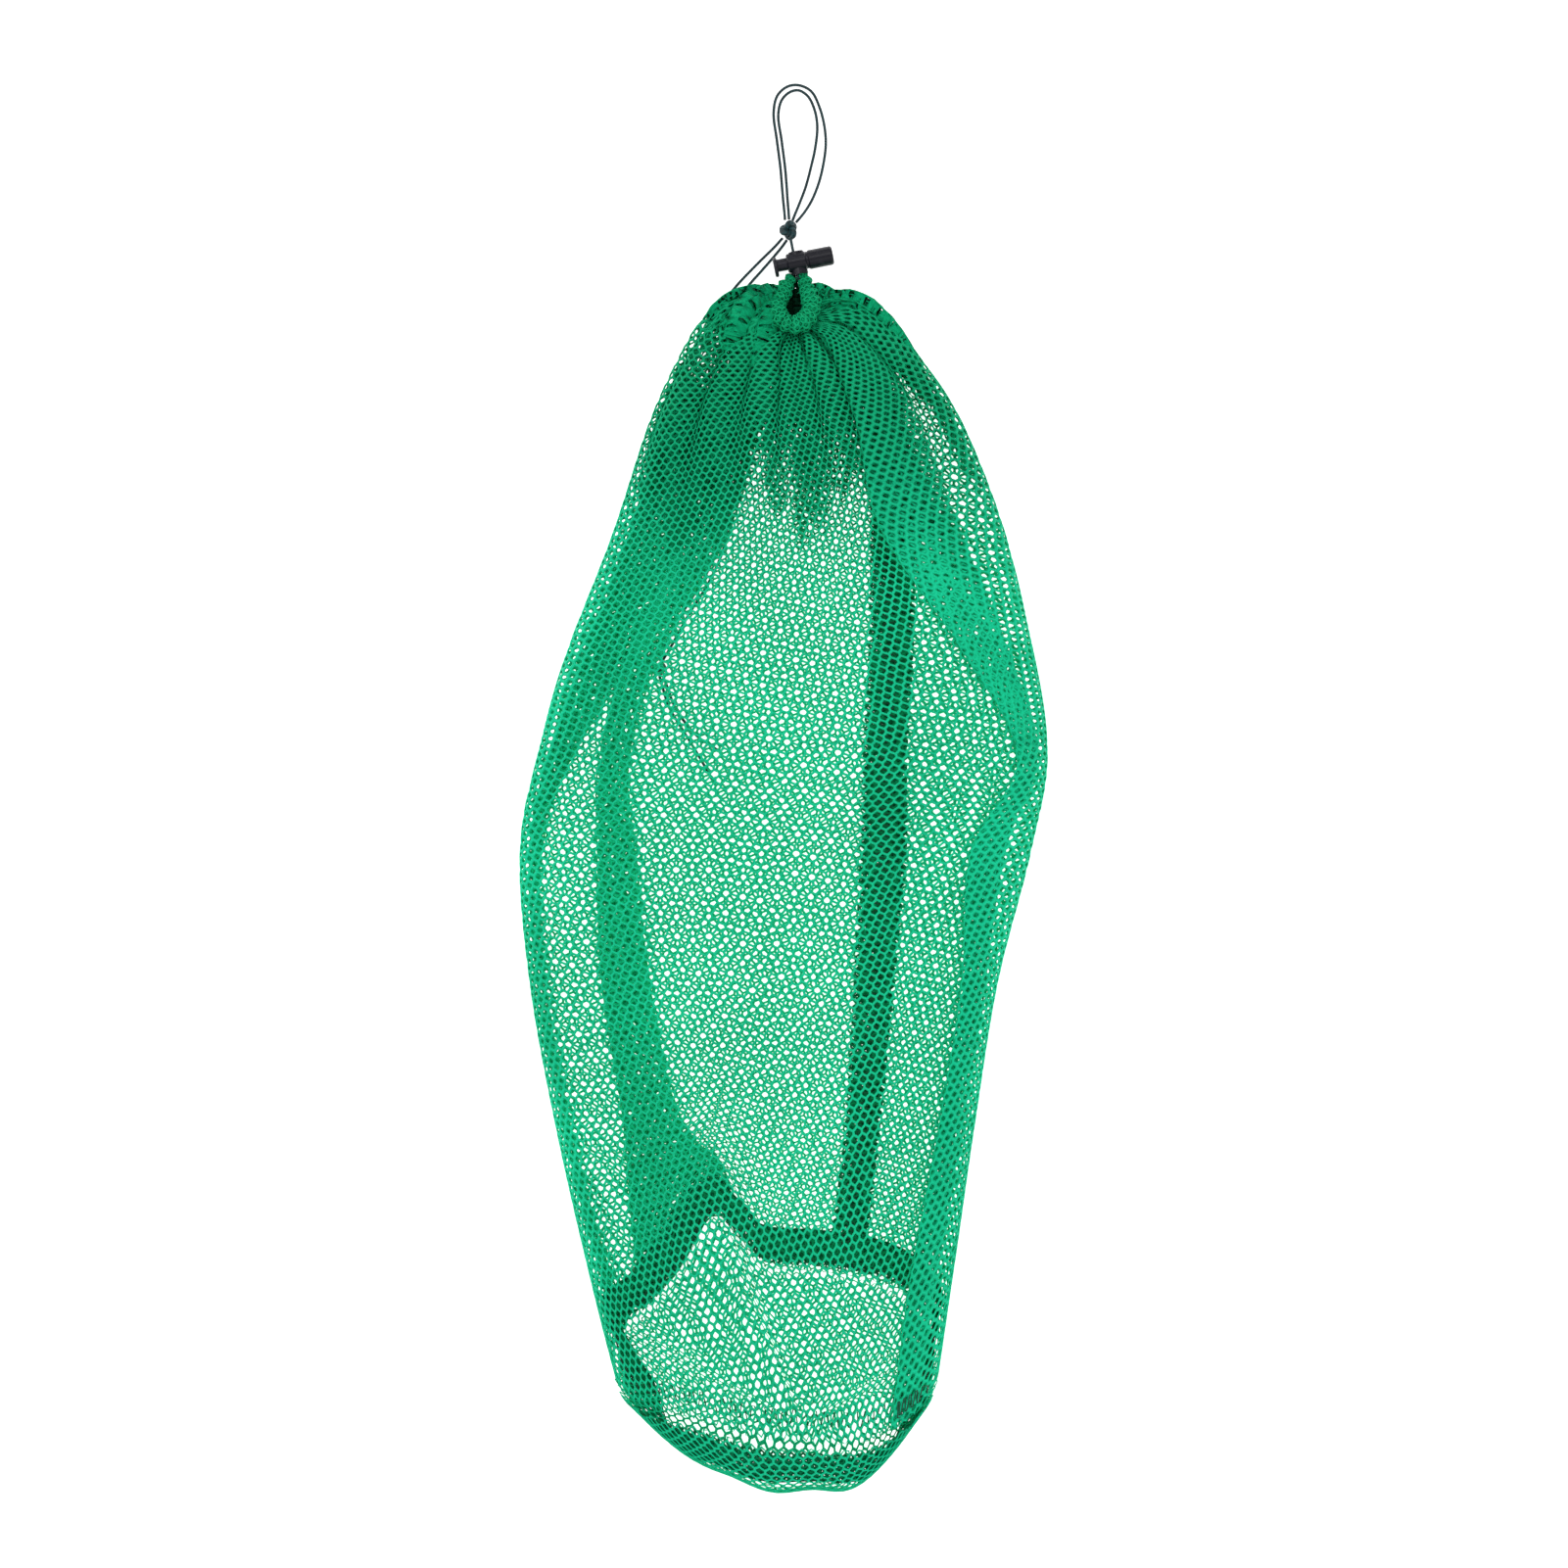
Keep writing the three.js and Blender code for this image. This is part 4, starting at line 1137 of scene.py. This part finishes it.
def hemGrid(radius, columns=200, rows=400):
    # its two ends meet under the lock
    ends = np.array([(6.9, 248.6, 4.6), (8.0, 246.9, 4.8), (3.2, 246.4, 4.6), (5.2, 247.9, 4.5)])
    line = np.vstack([ends[:2], np.array(mouthRoute)[1:-1] / mm, ends[2:]])
    line = centripetal(line, 0.2)
    gone = np.concatenate([[0], np.cumsum(np.linalg.norm(np.diff(line, axis=0), axis=1))])
    places = np.linspace(0, gone[-1], rows)
    line = np.stack([np.interp(places, gone, line[:, k]) for k in range(3)], 1)
    ahead = np.gradient(line, axis=0)
    ahead /= np.linalg.norm(ahead, axis=1)[:, None]
    middle = np.array([4.4, 235.0, 6.0])
    out = line - middle
    out -= ahead * (out * ahead).sum(1)[:, None]
    out /= np.linalg.norm(out, axis=1)[:, None]
    other = np.cross(ahead, out)
    turn = np.linspace(0, 2 * math.pi, columns)
    share = np.linspace(0, 1, rows)[:, None]
    ruffle = np.sin(hemSet["ruffles"] * 2 * math.pi * share + 0.9 * np.sin(turn[None, :] + 0.6))
    outer = 0.65 + 0.35 * np.cos(turn[None, :] - 0.5)
    full = 0.55 + 0.45 * smoothstep(np.minimum(share, 1 - share), 0.0, 0.18)
    size = radius * full + hemSet["ruffle"] * ruffle * outer + 0.3 * np.sin(31 * share + 1.0)
    grid = (line[:, None, :] + size[..., None] * (np.cos(turn)[None, :, None] * out[:, None, :]
                                                  + np.sin(turn)[None, :, None] * other[:, None, :]))
    return grid


def makeHem():
    parts = []
    for layer, (radius, shift) in enumerate(((hemSet["radius"], 0.0), (hemSet["radius"] - 0.75, 0.5))):
        grid = hemGrid(radius)
        normals, pitch = surfaceNormals(grid, True)
        cols, rows = hemSet["cellsRound"], hemSet["cellsAlong"]
        read = sampler(grid, normals, pitch, True, (grid.shape[1] - 1) / cols)
        part = netCells("hem%d" % layer, read, cols, rows, 1, rows - 1, strand=1.5, thick=0.4,
                        shift=(shift, shift * 0.4))
        parts.append(part)
    hem = finishPiece(joined(parts, "mouthHem"), "bag", ["mouth_hem"], hemYarn)
    print("hem")
    return hem


mouthHem = makeHem()

# what is sewn to each length of the netting
sewn = {
    "netNeck": [mouthHem, neckPleats, throatFolds],
    "netShoulder": [],
    "netMiddle": [sideSeam, sideThread],
    "netFoot": [bottomSeam, ringThread],
}
for piece, long in wallNet:
    declareNet(sewn[piece.name])


# cord lock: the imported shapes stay, with moulded plastic and drawn steel
lockSet = {
    "plastic": (0.007, 0.007, 0.013), "rubbed": (0.03, 0.03, 0.045), "roughness": 0.4,
    "steel": (0.62, 0.63, 0.65),
}


def lockMaterials():
    plastic, tree, shader = newMaterial("lockPlastic", lockSet["roughness"], 0.3)
    grain = placeGroup(tree, mouldedGrain, {"Position": objectPlace(tree)})
    colour = mixColour(tree, mathNode(tree, "MULTIPLY", grain.outputs["Scuff"], 0.6),
                       lockSet["plastic"], lockSet["rubbed"])
    tree.links.new(colour, shader.inputs["Base Color"])
    rough = mathNode(tree, "MULTIPLY_ADD", grain.outputs["Scuff"], 0.25, 0.3)
    tree.links.new(rough, shader.inputs["Roughness"])
    bump = tree.nodes.new("ShaderNodeBump")
    bump.inputs["Strength"].default_value = 0.25
    bump.inputs["Distance"].default_value = 0.00005
    tree.links.new(grain.outputs["Height"], bump.inputs["Height"])
    tree.links.new(bump.outputs[0], shader.inputs["Normal"])
    steel, tree, shader = newMaterial("springSteel", 0.28, 0.5)
    shader.inputs["Metallic"].default_value = 1.0
    grain = placeGroup(tree, mouldedGrain, {"Position": objectPlace(tree), "Grain Scale": 6000.0})
    colour = mixColour(tree, grain.outputs["Scuff"], lockSet["steel"], (0.4, 0.4, 0.42))
    tree.links.new(colour, shader.inputs["Base Color"])
    rough = mathNode(tree, "MULTIPLY_ADD", grain.outputs["Height"], 0.3, 0.15)
    tree.links.new(rough, shader.inputs["Roughness"])
    return plastic, steel


lockPlastic, springSteel = lockMaterials()
for nodeName, material in (("lock_barrel", lockPlastic), ("lock_plunger", lockPlastic),
                           ("lock_spring", springSteel)):
    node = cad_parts[nodeName]
    node = bpy.data.objects[node] if isinstance(node, str) else node
    if len(node.material_slots) == 0:
        node.data.materials.append(material)
    for place in node.material_slots:
        place.material = material
print("lock")


# floor and light
studio = {
    "floorSize": 6.0,
    "floorGlow": 0.9,
    "key": 11.0,
    "fill": 5.0,
    "sky": 0.55,
}


def makeStudio():
    bpy.ops.object.select_all(action="DESELECT")
    bpy.ops.mesh.primitive_plane_add(size=studio["floorSize"], location=(0, 0, -0.0003))
    floor = bpy.context.active_object
    floor.name = "floor"
    pale, tree, shader = newMaterial("paleFloor", 0.9, 0.1)
    shader.inputs["Base Color"].default_value = (0.9, 0.9, 0.9, 1)
    shader.inputs["Emission Color"].default_value = (1, 1, 1, 1)
    shader.inputs["Emission Strength"].default_value = studio["floorGlow"]
    floor.data.materials.append(pale)
    for name, place, size, power in (("keyLight", (-0.7, 0.9, 1.5), 1.2, studio["key"]),
                                     ("fillLight", (1.0, -0.5, 1.3), 1.6, studio["fill"])):
        lamp = bpy.data.lights.new(name, "AREA")
        lamp.size = size
        lamp.energy = power
        light = bpy.data.objects.new(name, lamp)
        light.location = place
        aim = Vector((0, 0.03, 0)) - Vector(place)
        light.rotation_mode = "QUATERNION"
        light.rotation_quaternion = aim.to_track_quat("-Z", "Y")
        bpy.context.scene.collection.objects.link(light)
    world = bpy.data.worlds.new("sky")
    world.use_nodes = True
    world.node_tree.nodes["Background"].inputs[0].default_value = (1, 1, 1, 1)
    world.node_tree.nodes["Background"].inputs[1].default_value = studio["sky"]
    bpy.context.scene.world = world


makeStudio()
print("studio")
